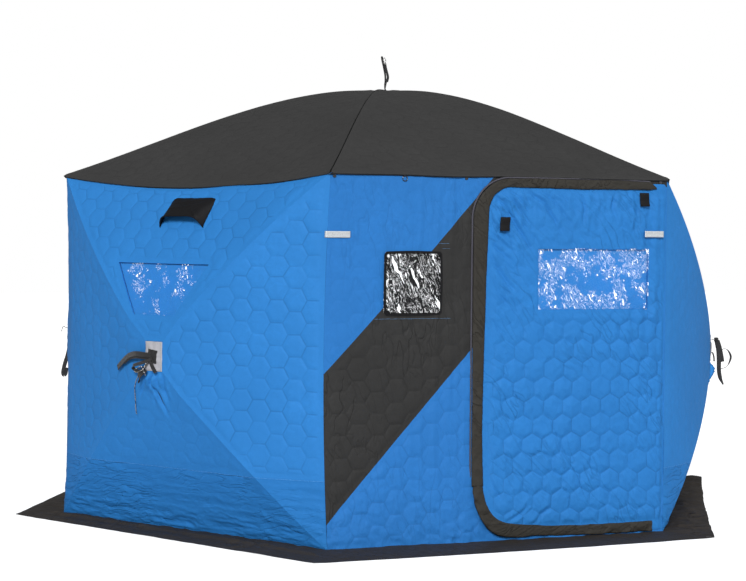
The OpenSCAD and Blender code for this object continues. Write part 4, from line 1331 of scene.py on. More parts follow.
def gore_place(k):
    depth = 0.0 if k == FRONT else EAVE_DIP

    def place(a, b):
        t = 1 - b / GORE_LENGTH
        r = ridge_r(t)
        s = np.clip(a / (r / 2), -1, 1)
        sag = 0.012 * (1 - s * s) * arch(np.clip(t, 0, 1))
        dip = depth * np.clip(t, 0, 1) ** 4 * (1 - s * s)
        z = ridge_z(np.clip(t, 0, 1)) - np.clip(t - 1, 0, 1) * 1.1 - dip - sag
        return on_wall(k, a, r * COS_30 - APOTHEM, z)
    return place


def gore_relief(a, b):
    """The pole under each edge of the panel lifts the cloth, and its hem is a little wavy."""
    half = ridge_r(1 - b / GORE_LENGTH) / 2
    pole = 0.004 * np.exp(-((half - np.abs(a)) / 0.016) ** 2)
    hem = 0.002 * rough_noise(a, b, 0.11, 3) * (1 - smoothstep(b / 0.06))
    return pole + hem


def roof():
    lip = 0.012
    for k, node in GORES.items():
        hem_a = np.linspace(-HALF - 0.004, HALF + 0.004, 60)
        hem_b = -lip + 0.006 * smooth_noise(hem_a, 0 * hem_a + k, 0.27, 12) * arch((hem_a / HALF + 1) / 2)
        outline = list(zip(hem_a, hem_b)) + [(ROOF_INNER / 2, GORE_LENGTH), (-ROOF_INNER / 2, GORE_LENGTH)]
        outer_part = panel(outline, gore_place(k), puff=0.0032, fineness=5 if k in (FRONT, FRONT_LEFT) else 4,
                           relief=gore_relief, hem=0.03, groove=0.001, seed=k + 50)
        skin = joined(node + "_cloth", [outer_part, rim(outline, gore_place(k), 0, -0.004)], ROOF)
        inner = turned(panel(outline, gore_place(k), puff=0.003, fineness=2.5, lift=-0.0065, seed=k + 60))
        lining = joined(node + "_lining", [inner], LINING)
        for piece, part in ((skin, outer_part), (lining, inner)):
            belong(piece, "shelter", "charcoal_quilt")
        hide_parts(node)


roof()


# ---------------------------------------------------------------- skirt

CORNER_REACH = [2.0, 1.929, 1.915, 1.94, 1.92, 1.897]   # from the middle to the skirt's six corners
EDGE_SWELL = [0.022, -0.01, 0.0, 0.012, 0.0, 0.0]       # how far its edge bows out between them


SKIRT_LIFT = 0.036                                      # the skirt's corner at the far right stands up
SKIRT_REST = 0.0028                                     # height of the skirt's cloth at its corners


def skirt_edge(k, s):
    """How far the skirt's edge lies out from wall k, and along it, at place s from -1 to 1."""
    reach = [CORNER_REACH[k], CORNER_REACH[(k + 1) % 6]]
    out = [r * COS_30 - APOTHEM for r in reach]
    along = [-reach[0] / 2, reach[1] / 2]
    share = (s + 1) / 2
    ragged = 0.0035 * rough_noise(s * 0.8 + k * 3.1, s * 0, 0.13, 7)
    return mix(along[0], along[1], share), mix(out[0], out[1], share) + EDGE_SWELL[k] * (1 - s * s) + ragged


def skirt():
    columns, rows = 150, 26
    parts = []
    for k in range(6):
        s = np.linspace(-1, 1, columns)[None, :]
        along, out = skirt_edge(k, s)
        v = np.linspace(0, 1, rows)[:, None]
        u = mix(s * (HALF + 0.002), along, v)
        w = mix(-0.004, out, v)
        x, y = np.moveaxis(on_wall(k, u, w, 0 * u)[..., :2], -1, 0)
        folds = 1 - np.abs(rough_noise(x, y, 0.13, 3)) * 2
        small = rough_noise(x, y, 0.05, 8)
        radial = rough_noise(u, v * 0.12 + 0 * u, 0.075, 15 + k)
        calm = 1.0 if k != FRONT else 0.42
        height = 0.0022 + calm * (0.006 * np.clip(folds, 0, 1) + 0.0025 * np.clip(small, 0, 1)
                                  + 0.006 * np.clip(radial, 0, 1) * arch(v * 0.8))
        if k != FRONT:
            height = height + 0.012 * np.clip(smooth_noise(x, y, 0.3, 5), 0, 1) * v
        if k in (FRONT_RIGHT, REAR_RIGHT):
            end = s if k == FRONT_RIGHT else -s
            height = height + SKIRT_LIFT * smoothstep((end - 0.72) / 0.28) * v ** 2
        toward_front = {FRONT_RIGHT: -s, FRONT_LEFT: s}.get(k, 0 * s)
        near_front = np.clip((toward_front - 0.7) / 0.25, 0, 1)
        height = mix(height, np.minimum(height, 0.006), near_front)
        if k == FRONT_RIGHT:
            upright = np.clip(ridges(u, v * 0.1 + 0 * u, 0.09, 44), 0, 1)
            height = height + 0.012 * upright * arch(np.clip(v * 0.9, 0, 1))
        if k == FRONT_LEFT:
            height = height + 0.011 * np.exp(-((v - 0.42 - 0.1 * s) / 0.08) ** 2)
        if k not in (FRONT_RIGHT, REAR_RIGHT):
            height = height * (1 - 0.8 * smoothstep((v - 0.7) / 0.3))
        blended = smoothstep(np.minimum(1 - np.abs(s), 0.06) / 0.06)
        lifted = SKIRT_LIFT * v ** 2 if k in (FRONT_RIGHT, REAR_RIGHT) else 0.0
        ends = np.where((s > 0) == (k == FRONT_RIGHT), SKIRT_REST + lifted, SKIRT_REST)
        height = mix(ends, height, blended)
        points = np.stack([x, y, height + 0 * x], axis=-1)
        part = plain(points.reshape(-1, 3), np.roll(grid_faces(rows, columns), -1, axis=1),
                     np.stack([u, w], axis=-1).reshape(-1, 2))
        edges = np.diff(points, axis=1)[:-1], np.diff(points, axis=0)[:, :-1]
        part["area"] = float(np.linalg.norm(np.cross(*edges), axis=2).sum())
        parts.append(part)
    piece = joined("ground_skirt", parts, SKIRT)
    panels_area(parts) * FLAT_SHARE
    belong(piece, "shelter", "skirt_cloth", "skirt")


skirt()


# ---------------------------------------------------------------- storm flaps on the door

FLAP_OUT = -APOTHEM - low("door_side_flap").y           # the flap's outer face, out from the wall
FLAP_LEFT, SPLIT, FLAP_RIGHT, FLAP_TOP = box_of("door_side_flap")     # the foot flap begins at SPLIT
FLAP_FOOT = low("door_foot_flap").z


def resampled(line, n):
    line = np.array(line, float)
    run = np.concatenate([[0], np.cumsum(np.hypot(*np.diff(line, axis=0).T))])
    t = np.linspace(0, run[-1], n)
    return np.stack([np.interp(t, run, line[:, 0]), np.interp(t, run, line[:, 1])], axis=1)


def flap_band(outer, inner, n, profile, out):
    """A band of cloth between two lines on the front, standing out over the door and the wall."""
    a, b = resampled(outer, n), resampled(inner, n)
    a[:, 1] += 0.0022 * rough_noise(a[:, 0] + a[:, 1], 0 * a[:, 0], 0.06, 31)
    b[:, 1] += 0.0016 * rough_noise(b[:, 0] + b[:, 1], 0 * b[:, 0], 0.05, 32)
    return strip(on_wall(FRONT, a[:, 0], out + door_bulge(a[:, 0], a[:, 1]), a[:, 1]),
                 on_wall(FRONT, b[:, 0], out + door_bulge(b[:, 0], b[:, 1]), b[:, 1]), 12, profile)


def side_flap_lines():
    """The outer and inner edge of the flap over the door's top and side, from its pointed right end."""
    outer = [(FLAP_RIGHT, DOOR_TOP - 0.006), (FLAP_RIGHT - 0.03, FLAP_TOP - 0.006), (0.6, FLAP_TOP),
             (0.4, FLAP_TOP + 0.001)] + \
        arc(0.03, FLAP_TOP - 0.185, 0.185, 0.185, 90, 180, 16) + [(FLAP_LEFT, 0.9),
                                                                  (FLAP_LEFT + 0.002, SPLIT)]
    inner = [(FLAP_RIGHT, DOOR_TOP - 0.011), (FLAP_RIGHT - 0.03, DOOR_TOP - 0.014),
             (0.4, DOOR_TOP - 0.018)] + \
        arc(0.029, DOOR_TOP - 0.124, 0.11, 0.11, 90, 180, 16) + \
        [(FLAP_LEFT + 0.064, 1.2), (FLAP_LEFT + 0.054, 0.8), (FLAP_LEFT + 0.050, 0.5),
         (FLAP_LEFT + 0.056, SPLIT)]
    return outer, inner


def foot_flap_lines():
    """The same for the flap under the door: it starts below the side flap and bends round the corner."""
    outer = curve_through([(FLAP_LEFT + 0.012, SPLIT + 0.012, 0), (FLAP_LEFT + 0.008, 0.22, 0),
                           (-0.137, 0.17, 0),
                           (-0.115, 0.115, 0), (-0.085, 0.072, 0), (-0.045, 0.040, 0), (0.0, 0.024, 0),
                           (0.07, 0.016, 0), (0.2, 0.017, 0), (0.4, FLAP_FOOT, 0),
                           (FLAP_RIGHT - 0.004, FLAP_FOOT, 0)], 80)[:, :2]
    inner = curve_through([(FLAP_LEFT + 0.052, SPLIT + 0.012, 0), (FLAP_LEFT + 0.058, 0.22, 0),
                           (-0.087, 0.175, 0),
                           (-0.066, 0.135, 0), (-0.036, 0.105, 0), (0.004, 0.086, 0), (0.06, 0.076, 0),
                           (0.13, 0.068, 0), (0.25, 0.058, 0), (0.45, FLAP_FOOT + 0.044, 0),
                           (FLAP_RIGHT, FLAP_FOOT + 0.046, 0)], 80)[:, :2]
    return outer, inner


def flap_profile(gathers, seed):
    """Rolled edges, a slightly full middle, and gathers that grow towards the outer edge."""
    def profile(s, v):
        roll = 0.0035 * arch(v) ** 0.5
        soft = 0.0022 * rough_noise(s * 1.6, v * 0.12, 0.07, seed)
        creases = soft + 0.0014 * ridges(s + v * 0.05, v * 0.07, 0.03, 6)
        folds = gathers * np.clip(smooth_noise(s, v * 0.05, 0.03, seed + 2), -0.3, 1) * (1 - 0.6 * v) * \
            np.clip(smooth_noise(s, v * 0, 0.16, seed + 9) + 0.45, 0, 1)
        return roll + creases + folds
    return profile


def flaps():
    side_part = flap_band(*side_flap_lines(), 420, flap_profile(0.003, 3), FLAP_OUT + 0.002)
    foot_part = flap_band(*foot_flap_lines(), 300, flap_profile(0.010, 8), FLAP_OUT + 0.001)
    for name, part, node in (("side_storm_flap", side_part, "door_side_flap"),
                             ("foot_storm_flap", foot_part, "door_foot_flap")):
        piece = joined(name, [part], FLAP)
        area = 0.5 * sum(float(np.linalg.norm(np.cross(p[1] - p[0], p[2] - p[0]))
                               + np.linalg.norm(np.cross(p[2] - p[0], p[3] - p[0])))
                         for p in part["points"][part["faces"]])
        solid = piece.modifiers.new("thickness", "SOLIDIFY")
        solid.thickness = 0.0016
        solid.offset = -1
        belong(piece, "door", "flap_cloth", node)
    outer = resampled([(x - 0.004, z + 0.004) for x, z in side_flap_lines()[0]], 300)[4:-3]
    line = on_wall(FRONT, outer[:, 0], 0.0045, outer[:, 1])
    belong(tube_object("zip_piping", line, 0.0042, PIPING, sides=6), "shelter", "webbing")


flaps()


# ---------------------------------------------------------------- patches over the hubs

LYING_WALLS = (FRONT_LEFT, REAR)             # the walls whose pull strap lies against the cloth


def patch_place(k):
    def place(a, b):
        return on_wall(k, a, HUB_OUT + 0.0012 + 0 * a, b)
    return place


def patch_relief(k):
    """The strap pulls the middle of the patch out, which sends small creases to its corners."""
    def relief(a, b):
        angle = np.arctan2(b - HUB_Z, a)
        away = np.hypot(a, b - HUB_Z)
        rays = np.sin(angle * 7 + 2.0 * smooth_noise(angle, away * 20, 1.0, k))
        outward = np.maximum(np.abs(a) / PATCH_HALF, np.abs(b - HUB_Z) / 0.068)
        border = 0.0012 * np.exp(-((outward - 0.88) / 0.05) ** 2)
        return 0.004 * np.exp(-(away / 0.03) ** 2) + 0.0011 * rays * np.clip(away / 0.03, 0, 1) + border
    return relief


def hub_patches():
    parts, squares, seams = [], [], []
    for k in HUB_WALLS:
        outline = [(-PATCH_HALF, PATCH_FOOT + 0.001), (PATCH_HALF, PATCH_FOOT + 0.001),
                   (PATCH_HALF, PATCH_TOP - 0.001), (-PATCH_HALF, PATCH_TOP - 0.001)]
        parts.append(panel(outline, patch_place(k), fineness=14, relief=patch_relief(k), groove=0.0012))
        square = [(-0.037, HUB_Z - 0.028), (0.018, HUB_Z - 0.034), (0.024, HUB_Z + 0.026),
                  (-0.032, HUB_Z + 0.033)]
        squares.append(panel(square, patch_place(k), fineness=16, lift=0.0028, groove=0.001,
                             relief=lambda a, b: patch_relief(1)(a, b) + 0.001 * rough_noise(a, b, 0.015)))
        squares.append(rim(square, patch_place(k), 0.0018, -0.001, 0.004))
        frame_line = [(a * 0.046, HUB_Z + b * 0.062) for a,
                      b in ((-1, -1), (1, -1), (1, 1), (-1, 1), (-1, -1))]
        line = spaced(np.array(frame_line), 0.004, closed=False)
        lifted = patch_place(k)(line[:, 0], line[:, 1]) + facing(k) * 0.0022
        seams.append((lifted, facing(k)))
    patch = joined("hub_patch_cloth", parts, PATCH)
    square = joined("hub_patch_squares", squares, WEBBING)
    thread = stitches("hub_patch_stitches", seams, DARK_THREAD, pitch=0.005, length=0.003)
    panels_area(parts)
    belong(patch, "shelter", "grey_patch", "hub_patches")
    for piece in (square, thread):
        belong(piece, "shelter", "webbing")


hub_patches()


# ---------------------------------------------------------------- vents

VENT_U, VENT_WIDTH, VENT_HEIGHT = 0.072, 0.272, 0.166
VENT_CREASES = [                             # from and to, width and height
    ((-0.55, 0.66, 0.62, 0.84), 0.045, -0.0035), ((-0.1, 0.60, 0.45, 0.72), 0.035, -0.0025),
    ((0.05, 0.50, 0.72, 0.12), 0.05, 0.0035), ((0.15, 0.45, 0.60, 0.05), 0.035, -0.003),
    ((-0.7, 0.42, -0.05, 0.5), 0.04, 0.0025)]


def vent_place(k):
    """a runs across the hood from -1 to 1, b from its free lower edge at 0 to its sewn top at 1."""
    wall = upper_place(k)
    top = up_facet(1.561)

    def place(a, b):
        full = np.clip(1 - np.abs(a) ** 6, 0, 1)
        lean = 0.018 * (1 - b)
        spread = mix(0.99, 1, b) * VENT_WIDTH / 2
        along = VENT_U + a * spread - lean
        up = top - (1 - b) * (VENT_HEIGHT - 0.044 * full)
        out = 0.050 * full * np.clip(1 - b, 0, 1) ** 0.85 + 0.0016
        return wall(along, up) + facing(k, 0.3) * out[:, None]
    return place


def vent_hood(k):
    rows, columns = 46, 70
    cells = np.meshgrid(np.linspace(-1, 1, columns), np.linspace(0, 1, rows))
    a, b = cells[0].ravel(), cells[1].ravel()
    place = vent_place(k)
    crease = np.zeros(len(a))
    for (a0, b0, a1, b1), width, depth in VENT_CREASES:
        away = distance_to(np.stack([a * 0.5, b], 1), np.array([(a0 * 0.5, b0), (a1 * 0.5, b1)]),
                           closed=False)
        crease += depth * np.exp(-(away / width) ** 2)
    height = crease + 0.0012 * rough_noise(a, b, 0.25, k)
    hood = plain(place(a, b) + facing(k, 0.4) * height[:, None], grid_faces(rows, columns),
                 np.stack([a * VENT_WIDTH / 2, b * VENT_HEIGHT], axis=1))
    hem_a = np.linspace(-1, 1, 80)
    return hood, open_tube(place(hem_a, 0 * hem_a) + facing(k, 0.2) * 0.001, 0.0022, 6)


def vents():
    hoods = [vent_hood(k) for k in VENT_WALLS]
    hood = joined("vent_hood_cloth", [part for pair in hoods for part in pair], BLACK)
    solid = hood.modifiers.new("thickness", "SOLIDIFY")
    solid.thickness = 0.0012
    nets = [panel(vent_ring(), upper_place(k), fineness=4, lift=-0.004, groove=0,
                  relief=lambda a, b: 0.0015 * rough_noise(a, b, 0.06)) for k in VENT_WALLS]
    net = joined("vent_net", nets, NET)
    panels_area(nets)
    belong(hood, "shelter", "black_cloth", "vent_hoods")
    belong(net, "shelter", "black_cloth")


vents()


# ---------------------------------------------------------------- straps and cords

def hub_point(k, u, out, up):
    """A point near a hub: along its wall, out from it and up from it."""
    return on_wall(k, u, HUB_OUT + out, HUB_Z + up)


def hub_path(k, points):
    return [hub_point(k, *p) for p in points]


def along_wall(k):
    """The way that wall k runs."""
    return np.array([math.cos(math.radians(60 * k)), math.sin(math.radians(60 * k)), 0])


def strap_knot(k, u, out, up, size):
    """A knot in the strap: two turns of webbing round each other."""
    centre = hub_point(k, u, out, up)
    parts = []
    for lean, scale in ((0.4, 1.0), (-0.5, 0.86)):
        across = along_wall(k) * math.cos(lean) + np.array([0, 0, 1.0]) * math.sin(lean)
        path = [centre + scale * size * (math.cos(t) * across * 0.62 + math.sin(t) * facing(k) * 0.8)
                for t in np.linspace(0, 2 * math.pi, 30)]
        parts.append(ribbon(path, np.cross(facing(k), across), size * 1.15, 0.0022, 40, curl=0.002))
    return parts


def lying_strap(k):
    """A doubled strap that lies along the wall to the left, a folded loop under it, and its knot."""
    over = ribbon(hub_path(k, [(-0.012, 0.006, 0.002), (-0.045, 0.020, 0.006), (-0.09, 0.026, 0.008),
                               (-0.145, 0.012, -0.004), (-0.20, -0.008, -0.030), (-0.258, -0.028, -0.066)]),
                  (0, 0, 1), 0.024, 0.0026, 60, curl=0.0015)
    under = ribbon(hub_path(k, [(-0.010, 0.004, -0.006), (-0.05, 0.014, -0.004), (-0.095, 0.018, -0.003),
                                (-0.15, 0.004, -0.013), (-0.20, -0.014, -0.036)]),
                   (0, 0, 1), 0.021, 0.0026, 50, curl=-0.001)
    loop = ribbon(hub_path(k, [(0.0, 0.014, -0.012), (-0.045, 0.030, -0.030), (-0.092, 0.034, -0.044),
                               (-0.104, 0.024, -0.058), (-0.085, 0.016, -0.070), (-0.045, 0.012, -0.074)]),
                  [(0, 0, 1), (0, 0, 1), (0.2, 0, 1), (0.6, 0, 0.6), (0.2, 0, 1), (0, 0, 1)], 0.015, 0.0024,
                  60)
    knot = ribbon(hub_path(k, [(-0.04, 0.012, -0.060), (-0.058, 0.022, -0.078), (-0.074, 0.018, -0.100),
                               (-0.082, 0.008, -0.116)]), (0, 0, 1), 0.026, 0.004, 30, curl=0.004)
    tail = ribbon(hub_path(k, [(-0.010, 0.012, -0.014), (0.008, 0.020, -0.040), (0.026, 0.014, -0.072)]),
                  (1, 0, 0.3), 0.016, 0.0024, 24)
    return [over, under, loop, knot, tail] + strap_knot(k, -0.018, 0.010, -0.020, 0.009)


def hanging_strap(k):
    """A strap on a short cord, with a second layer over its upper half, a ring of webbing and a tail."""
    out = facing(k)
    long_layer = ribbon(hub_path(k, [(0, 0.030, 0.040), (0, 0.037, 0.016), (0, 0.043, -0.02),
                                     (0, 0.045, -0.07),
                                     (0, 0.046, -0.115), (0, 0.053, -0.152), (0, 0.068, -0.184)]),
                        out, 0.024, 0.0026, 60, curl=0.002, taper=([0, 0.15, 0.8, 1], [0.8, 1, 0.85, 0.3]))
    short_layer = ribbon(hub_path(k, [(0.004, 0.034, 0.036), (0.005, 0.044, 0.006), (0.006, 0.053, -0.034),
                                      (0.006, 0.059, -0.070)]), out, 0.027, 0.0026, 40, curl=0.002)
    turn = along_wall(k)
    ring = ribbon(hub_path(k, [(0.002, 0.054, -0.010), (0.002, 0.074, -0.002), (0.002, 0.092, -0.014),
                               (0.002, 0.104, -0.044), (0.002, 0.094, -0.080), (0.002, 0.078, -0.098),
                               (0.002, 0.050, -0.108)]),
                  [turn, turn, turn * 0.7 + out * 0.5, turn * 0.4 + out * 0.9, turn * 0.8 + out * 0.4, turn,
                   turn],
                  0.011, 0.0018, 60)
    small = ribbon(hub_path(k, [(-0.004, 0.002, -0.024), (-0.004, 0.013, -0.024), (-0.004, 0.020, -0.044),
                                (-0.004, 0.022, -0.068)]), turn * 0.6 + out * 0.6, 0.009, 0.002, 24)
    return [long_layer, short_layer, ring, small] + strap_knot(k, 0, 0.030, 0.043, 0.012)


def short_strap(k):
    """A strap that hangs close to the wall, doubled back at its foot."""
    out = facing(k)
    layer = ribbon(hub_path(k, [(0, 0.004, -0.012), (0, 0.006, -0.060), (0, 0.014, -0.10), (0, 0.028, -0.145),
                                (0, 0.038, -0.190), (0, 0.034, -0.207), (0, 0.025, -0.198),
                                (0, 0.021, -0.168)]),
                   out, 0.021, 0.0026, 60, curl=0.002)
    return [layer] + strap_knot(k, 0, 0.008, -0.010, 0.009)


LOOP_RADIUS, CORD_RADIUS = 0.0021, 0.0016
LYING_LOOP = [(-0.016, 0.004, -0.014), (-0.026, 0.022, -0.030), (-0.036, 0.030, -0.056),
              (-0.060, 0.030, -0.070),
              (-0.092, 0.024, -0.074), (-0.104, 0.018, -0.066), (-0.080, 0.022, -0.056),
              (-0.050, 0.030, -0.046),
              (-0.040, 0.026, -0.066), (-0.036, 0.014, -0.086)]
HANGING_LOOP = [(0, 0.001, 0.040), (0, 0.012, 0.0425), (0, 0.024, 0.043), (0.003, 0.036, 0.050),
                (0.008, 0.042, 0.040), (0.008, 0.046, 0.022)]


def wall_straps():
    parts = []
    for k in HUB_WALLS:
        shape = lying_strap if k in LYING_WALLS else short_strap if k == REAR_LEFT else hanging_strap
        parts += shape(k)
    belong(joined("hub_straps", parts, WEBBING), "shelter", "webbing", "wall_pull_straps")
    for k in HUB_WALLS:
        path = LYING_LOOP if k in LYING_WALLS else HANGING_LOOP
        cord("strap_cord_" + str(k), hub_path(k, path), 90, LOOP_RADIUS, LOOP_CORD)


wall_straps()

CORD_ROUTE = [                               # along the front left wall, out from it, and up from the ground
    (-0.0046, 0.240, 0.8026), (-0.018, 0.239, 0.787), (-0.034, 0.238, 0.771), (-0.052, 0.236, 0.756),
    (-0.070, 0.233, 0.742), (-0.087, 0.230, 0.728), (-0.102, 0.227, 0.714), (-0.115, 0.223, 0.699),
    (-0.125, 0.2195, 0.684), (-0.132, 0.216, 0.668), (-0.137, 0.212, 0.652), (-0.140, 0.208, 0.636),
    (-0.142, 0.204, 0.619), (-0.144, 0.200, 0.602), (-0.147, 0.196, 0.585), (-0.150, 0.192, 0.568),
    (-0.152, 0.188, 0.552), (-0.152, 0.184, 0.538)]

cord("thin_cord", [on_wall(FRONT_LEFT, *p) for p in CORD_ROUTE], 140, CORD_RADIUS, CORD, "hub_cord")


def roof_strap():
    """A doubled strap that stands up from the peak, twisted low down, with a knotted cord at its tip."""
    def at(points):
        return [(x, y, PEAK + z) for x, y, z in points]

    front = (1, 0.15, 0)
    stem = ribbon(at([(0.003, 0, 0.0), (-0.002, 0.001, 0.016), (0.001, 0.002, 0.040), (0.005, 0, 0.062)]),
                  [(0.9, 0.4, 0), (0.7, 0.7, 0), (0.9, 0.2, 0), (1, 0, 0)], 0.013, 0.003, 40)
    right = ribbon(at([(0.008, -0.001, 0.050), (0.013, -0.002, 0.072), (0.010, -0.002, 0.090),
                       (0.002, -0.001, 0.118), (-0.003, 0, 0.145)]), front, 0.013, 0.0028, 40, curl=0.001)
    left = ribbon(at([(0.001, 0.002, 0.050), (0.001, 0.003, 0.074), (-0.002, 0.003, 0.096),
                      (-0.010, 0.002, 0.130),
                      (-0.018, 0.001, 0.160), (-0.021, 0, 0.176), (-0.016, 0.004, 0.176),
                      (-0.012, 0.006, 0.160)]),
                  front, 0.009, 0.0028, 50)
    belong(joined("roof_strap", [stem, right, left], WEBBING), "shelter", "webbing", "roof_pull_strap")
    path = at([(-0.003, -0.001, 0.136), (-0.001, -0.003, 0.150), (0.000, -0.002, 0.164),
               (-0.006, 0.001, 0.174),
               (-0.013, -0.002, 0.168), (-0.010, -0.004, 0.152), (-0.006, -0.002, 0.140),
               (-0.010, 0.001, 0.156),
               (-0.012, 0.003, 0.166)])
    cord("roof_strap_cord", path, 70, LOOP_RADIUS, LOOP_CORD)


roof_strap()


def roof_patch():
    """A six-sided patch sewn over the peak."""
    radius = -low("roof_patch").x
    rings = np.linspace(0, 1, 16)
    angle = np.linspace(0, 2 * math.pi, 97)[:-1]
    hexagon = COS_30 / np.cos((angle % math.radians(60)) - math.radians(30))
    points, uv = [(0, 0, PEAK)], [(0.0, 0.0)]
    for share in rings[1:]:
        for t, h in zip(angle, hexagon):
            r = radius * share * mix(1, h, share)
            drop = 0.009 * share ** 2 - 0.0012 * math.exp(-((share - 0.86) / 0.04) ** 2)
            x, y = r * math.cos(t), r * math.sin(t)
            wrinkle = 0.0012 * math.sin(6 * t) * share
            points.append((x, y, PEAK - drop + wrinkle))
            uv.append((x, y))
    n = len(angle)
    faces = [(0, 1 + i, 1 + (i + 1) % n) for i in range(n)]
    for ring in range(len(rings) - 2):
        base = 1 + ring * n
        faces += [(base + i, base + n + i, base + n + (i + 1) % n, base + (i + 1) % n) for i in range(n)]
    last = 1 + (len(rings) - 2) * n
    points += [(x, y, z - 0.006) for x, y, z in points[last:last + n]]
    uv += uv[last:last + n]
    faces += [(last + i, last + n + i, last + n + (i + 1) % n, last + (i + 1) % n) for i in range(n)]
    piece = mesh_object("peak_patch", np.array(points), faces, PATCH, np.array(uv), np.zeros(len(points)))
    belong(piece, "shelter", "grey_patch", "roof_patch")


roof_patch()


# ---------------------------------------------------------------- small pieces

def tape_tab(name, node, body):
    """A strip of reflective tape, sewn down along its two ends, lifted a little in its middle."""
    x0, z0, x1, z1 = box_of(node)
    out = -APOTHEM - high(node).y + 0.0006 + (0.004 if body == "door" else 0.0)
    n = 40
    if body == "shelter":
        x0 = -HALF - 0.009                       # this one is sewn round the corner seam
    x = np.linspace(x0, x1, n)
    wave = 0.0022 * arch(np.linspace(0, 1, n)) + 0.0006 * smooth_noise(x, x * 0, 0.02, 5)

    def edge(height):
        z = np.full(n, height)
        ahead = on_wall(FRONT, x, out + wave, z)
        past = on_wall(FRONT_LEFT, HALF + (x + HALF), out + wave + 0.005, z)
        pull = PULLS[0] * arch(height / WALL_TOP) * np.clip(-x / HALF, 0, 1)[:, None] ** 4
        return mix(past, ahead, smoothstep((x + HALF + 0.003) / 0.006)[:, None]) + \
            (pull if body == "shelter" else 0)

    part = strip(edge(z1), edge(z0), 8, lambda s, v: 0.0008 * arch(v), 0.0016)
    part["faces"] = part["faces"][:, ::-1]
    tab = joined(name, [part], TAPE)
    ends = []
    for end in (max(x0, -HALF + 0.006) + 0.004, x1 - 0.004):
        z = np.linspace(z0 + 0.002, z1 - 0.002, 12)
        ends.append((on_wall(FRONT, end, out + 0.0014, z), (0, -1, 0)))
    thread = stitches(name + "_stitches", ends, DARK_THREAD, pitch=0.004, length=0.0026)
    belong(tab, body, "reflective_tape", node)
    belong(thread, body, "reflective_tape")


tape_tab("left_tab", "reflector", "shelter")
tape_tab("right_tab", "door_reflector", "door")


def door_tie(x0, x1, z0, z1, lean):
    """A soft loop of cloth, folded at its foot, with a row of stitches across its head."""
    out = DOOR_OUT + 0.016
    z = np.linspace(0, 1, 40)
    heights = mix(z1, z0, z)
    shift = lean * z
    wave = 0.0022 * np.sin(z * 9) * z + 0.003 * z
    left, right = (on_wall(FRONT, x + shift, out + wave, heights) for x in (x0, x1))
    face = strip(left, right, 12, lambda s, v: 0.0016 * rough_noise(s, v * 0.06, 0.02, 6) + 0.0018 * arch(v),
                 0.0034)
    head = np.linspace(x0 + 0.003, x1 - 0.003, 20)
    return face, (on_wall(FRONT, head, out + 0.003, z1 - 0.006), (0, -1, 0))


def ties():
    width, height = 0.047, 0.062
    x0, z0, x1, z1 = box_of("door_ties")
    made = [door_tie(x0, x0 + width, z0, z0 + height, -0.006),
            door_tie(x1 - width, x1, z1 - height, z1, 0.003)]
    loops = joined("door_tie_loops", [face for face, line in made], BLACK)
    thread = stitches("door_tie_stitches", [line for face, line in made], DARK_THREAD, pitch=0.004,
                      length=0.0026)
    belong(loops, "door", "webbing", "door_ties")
    belong(thread, "door", "webbing")


ties()


def corner_pockets():
    """Cloth pockets at the foot and head of each corner, which hold the ends of the poles."""
    leg, height = 0.034, 0.060
    tip = SIDE - 0.0096
    parts = []
    for c in range(6):
        turn = math.radians(60 * c - 120)
        for z0 in (0.0015, WALL_TOP - 0.024 - height):
            v = np.linspace(0, 1, 24)
            z = z0 + height * v
            reach = tip - leg * COS_30
            lines = []
            for side in (-1, 1):
                x, y = np.full(24, reach), np.full(24, side * leg / 2)
                lines.append(np.stack([x * math.cos(turn) - y * math.sin(turn),
                                       x * math.sin(turn) + y * math.cos(turn), z], axis=1))
            parts.append(strip(lines[0], lines[1], 14,
                               lambda s, v: 0.009 * arch(v) + 0.0015 * rough_noise(s, v * 0.04, 0.02, 4),
                               0.0016))
    belong(joined("pole_pockets", parts, BLACK), "shelter", "black_cloth", "corner_pockets")


corner_pockets()


POLE_RADIUS, POLE_INSET = 0.0045, 0.014      # and how far inside the cloth a pole's middle lies


def wall_poles():
    """Four sprung rods in each hub wall, which press its creases out from inside."""
    parts = []
    t = np.linspace(0.035, 0.982, 40)
    for k in HUB_WALLS:
        for side in (-1, 1):
            for heights in (upper_z, lower_z):
                line = side_place(k)(side * t * SIDE_LENGTH, heights(t)) - facing(k) * POLE_INSET
                parts.append(open_tube(line, POLE_RADIUS, 8))
    belong(joined("sprung_rods", parts, ROD), "shelter", "glass_fibre_rod", "wall_poles")


wall_poles()


for hard_node, hard_mat in (("roof_hub", PLASTIC), ("wall_hubs", PLASTIC), ("roof_poles", ROD),
                            ("eave_snaps", NICKEL), ("eave_ring", NICKEL)):
    hard_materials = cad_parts[hard_node].data.materials
    for index in range(len(hard_materials)):
        hard_materials[index] = hard_mat


# ---------------------------------------------------------------- light, floor and background

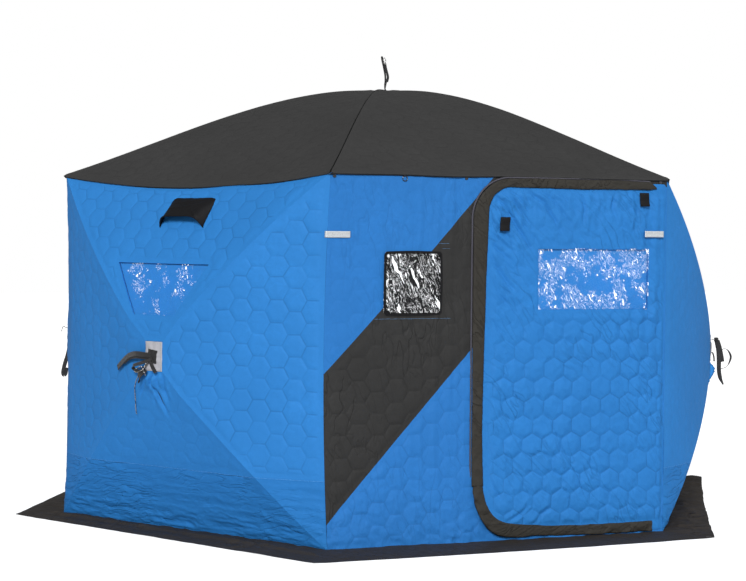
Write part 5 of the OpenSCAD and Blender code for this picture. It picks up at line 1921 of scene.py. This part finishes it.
FLOOR_SIZE, FLOOR_GREY, FLOOR_GLOW = 60, 0.7, 0.7
WORLD_LIGHT, WORLD_SEEN = 0.27, 1.0          # the world's strength for other rays, and for the camera's
SUNS = (("key", -118, 25, 16, 3.0), ("fill", -45, 28, 60, 0.75))      # azimuth, lift, softness and strength
SUN_AWAY = 10


def floor_and_light():
    bpy.ops.mesh.primitive_plane_add(size=FLOOR_SIZE, location=(0, 0, 0))
    floor = bpy.context.object
    floor.name = "floor"
    mat = blank("floor")
    path = add(mat, "LightPath")
    matt = add(mat, "BsdfDiffuse", {"Color": (FLOOR_GREY, FLOOR_GREY, FLOOR_GREY, 1)})
    glow = add(mat, "Emission", {"Color": (1, 1, 1, 1), "Strength": FLOOR_GLOW})
    lit = add(mat, "AddShader", {0: matt.outputs[0], 1: glow.outputs[0]})
    shader = add(mat, "MixShader", {0: path.outputs["Is Camera Ray"], 1: matt.outputs[0], 2: lit.outputs[0]})
    finish_material(mat, shader.outputs[0])
    floor.data.materials.append(mat)

    world = bpy.data.worlds.new("studio")
    bpy.context.scene.world = world
    world.use_nodes = True
    world.node_tree.nodes.clear()
    rays = add(world, "LightPath").outputs
    seen = calc(world, "MAXIMUM", rays["Is Camera Ray"], rays["Is Transmission Ray"])
    back = add(world, "Background", {"Color": (1, 1, 1, 1),
                                     "Strength": varied(world, seen, WORLD_LIGHT, WORLD_SEEN)})
    add(world, "OutputWorld", {"Surface": back.outputs[0]})

    for name, azimuth, lift, softness, strength in SUNS:
        lamp = bpy.data.lights.new(name, "SUN")
        lamp.angle = math.radians(softness)
        lamp.energy = strength
        obj = bpy.data.objects.new(name, lamp)
        turn, rise = math.radians(azimuth), math.radians(lift)
        obj.location = SUN_AWAY * Vector((math.cos(turn) * math.cos(rise), math.sin(turn) * math.cos(rise),
                                          math.sin(rise)))
        obj.rotation_euler = (-obj.location).to_track_quat("-Z", "Y").to_euler()
        bpy.context.scene.collection.objects.link(obj)
    bpy.context.scene.view_settings.view_transform = "Standard"


floor_and_light()
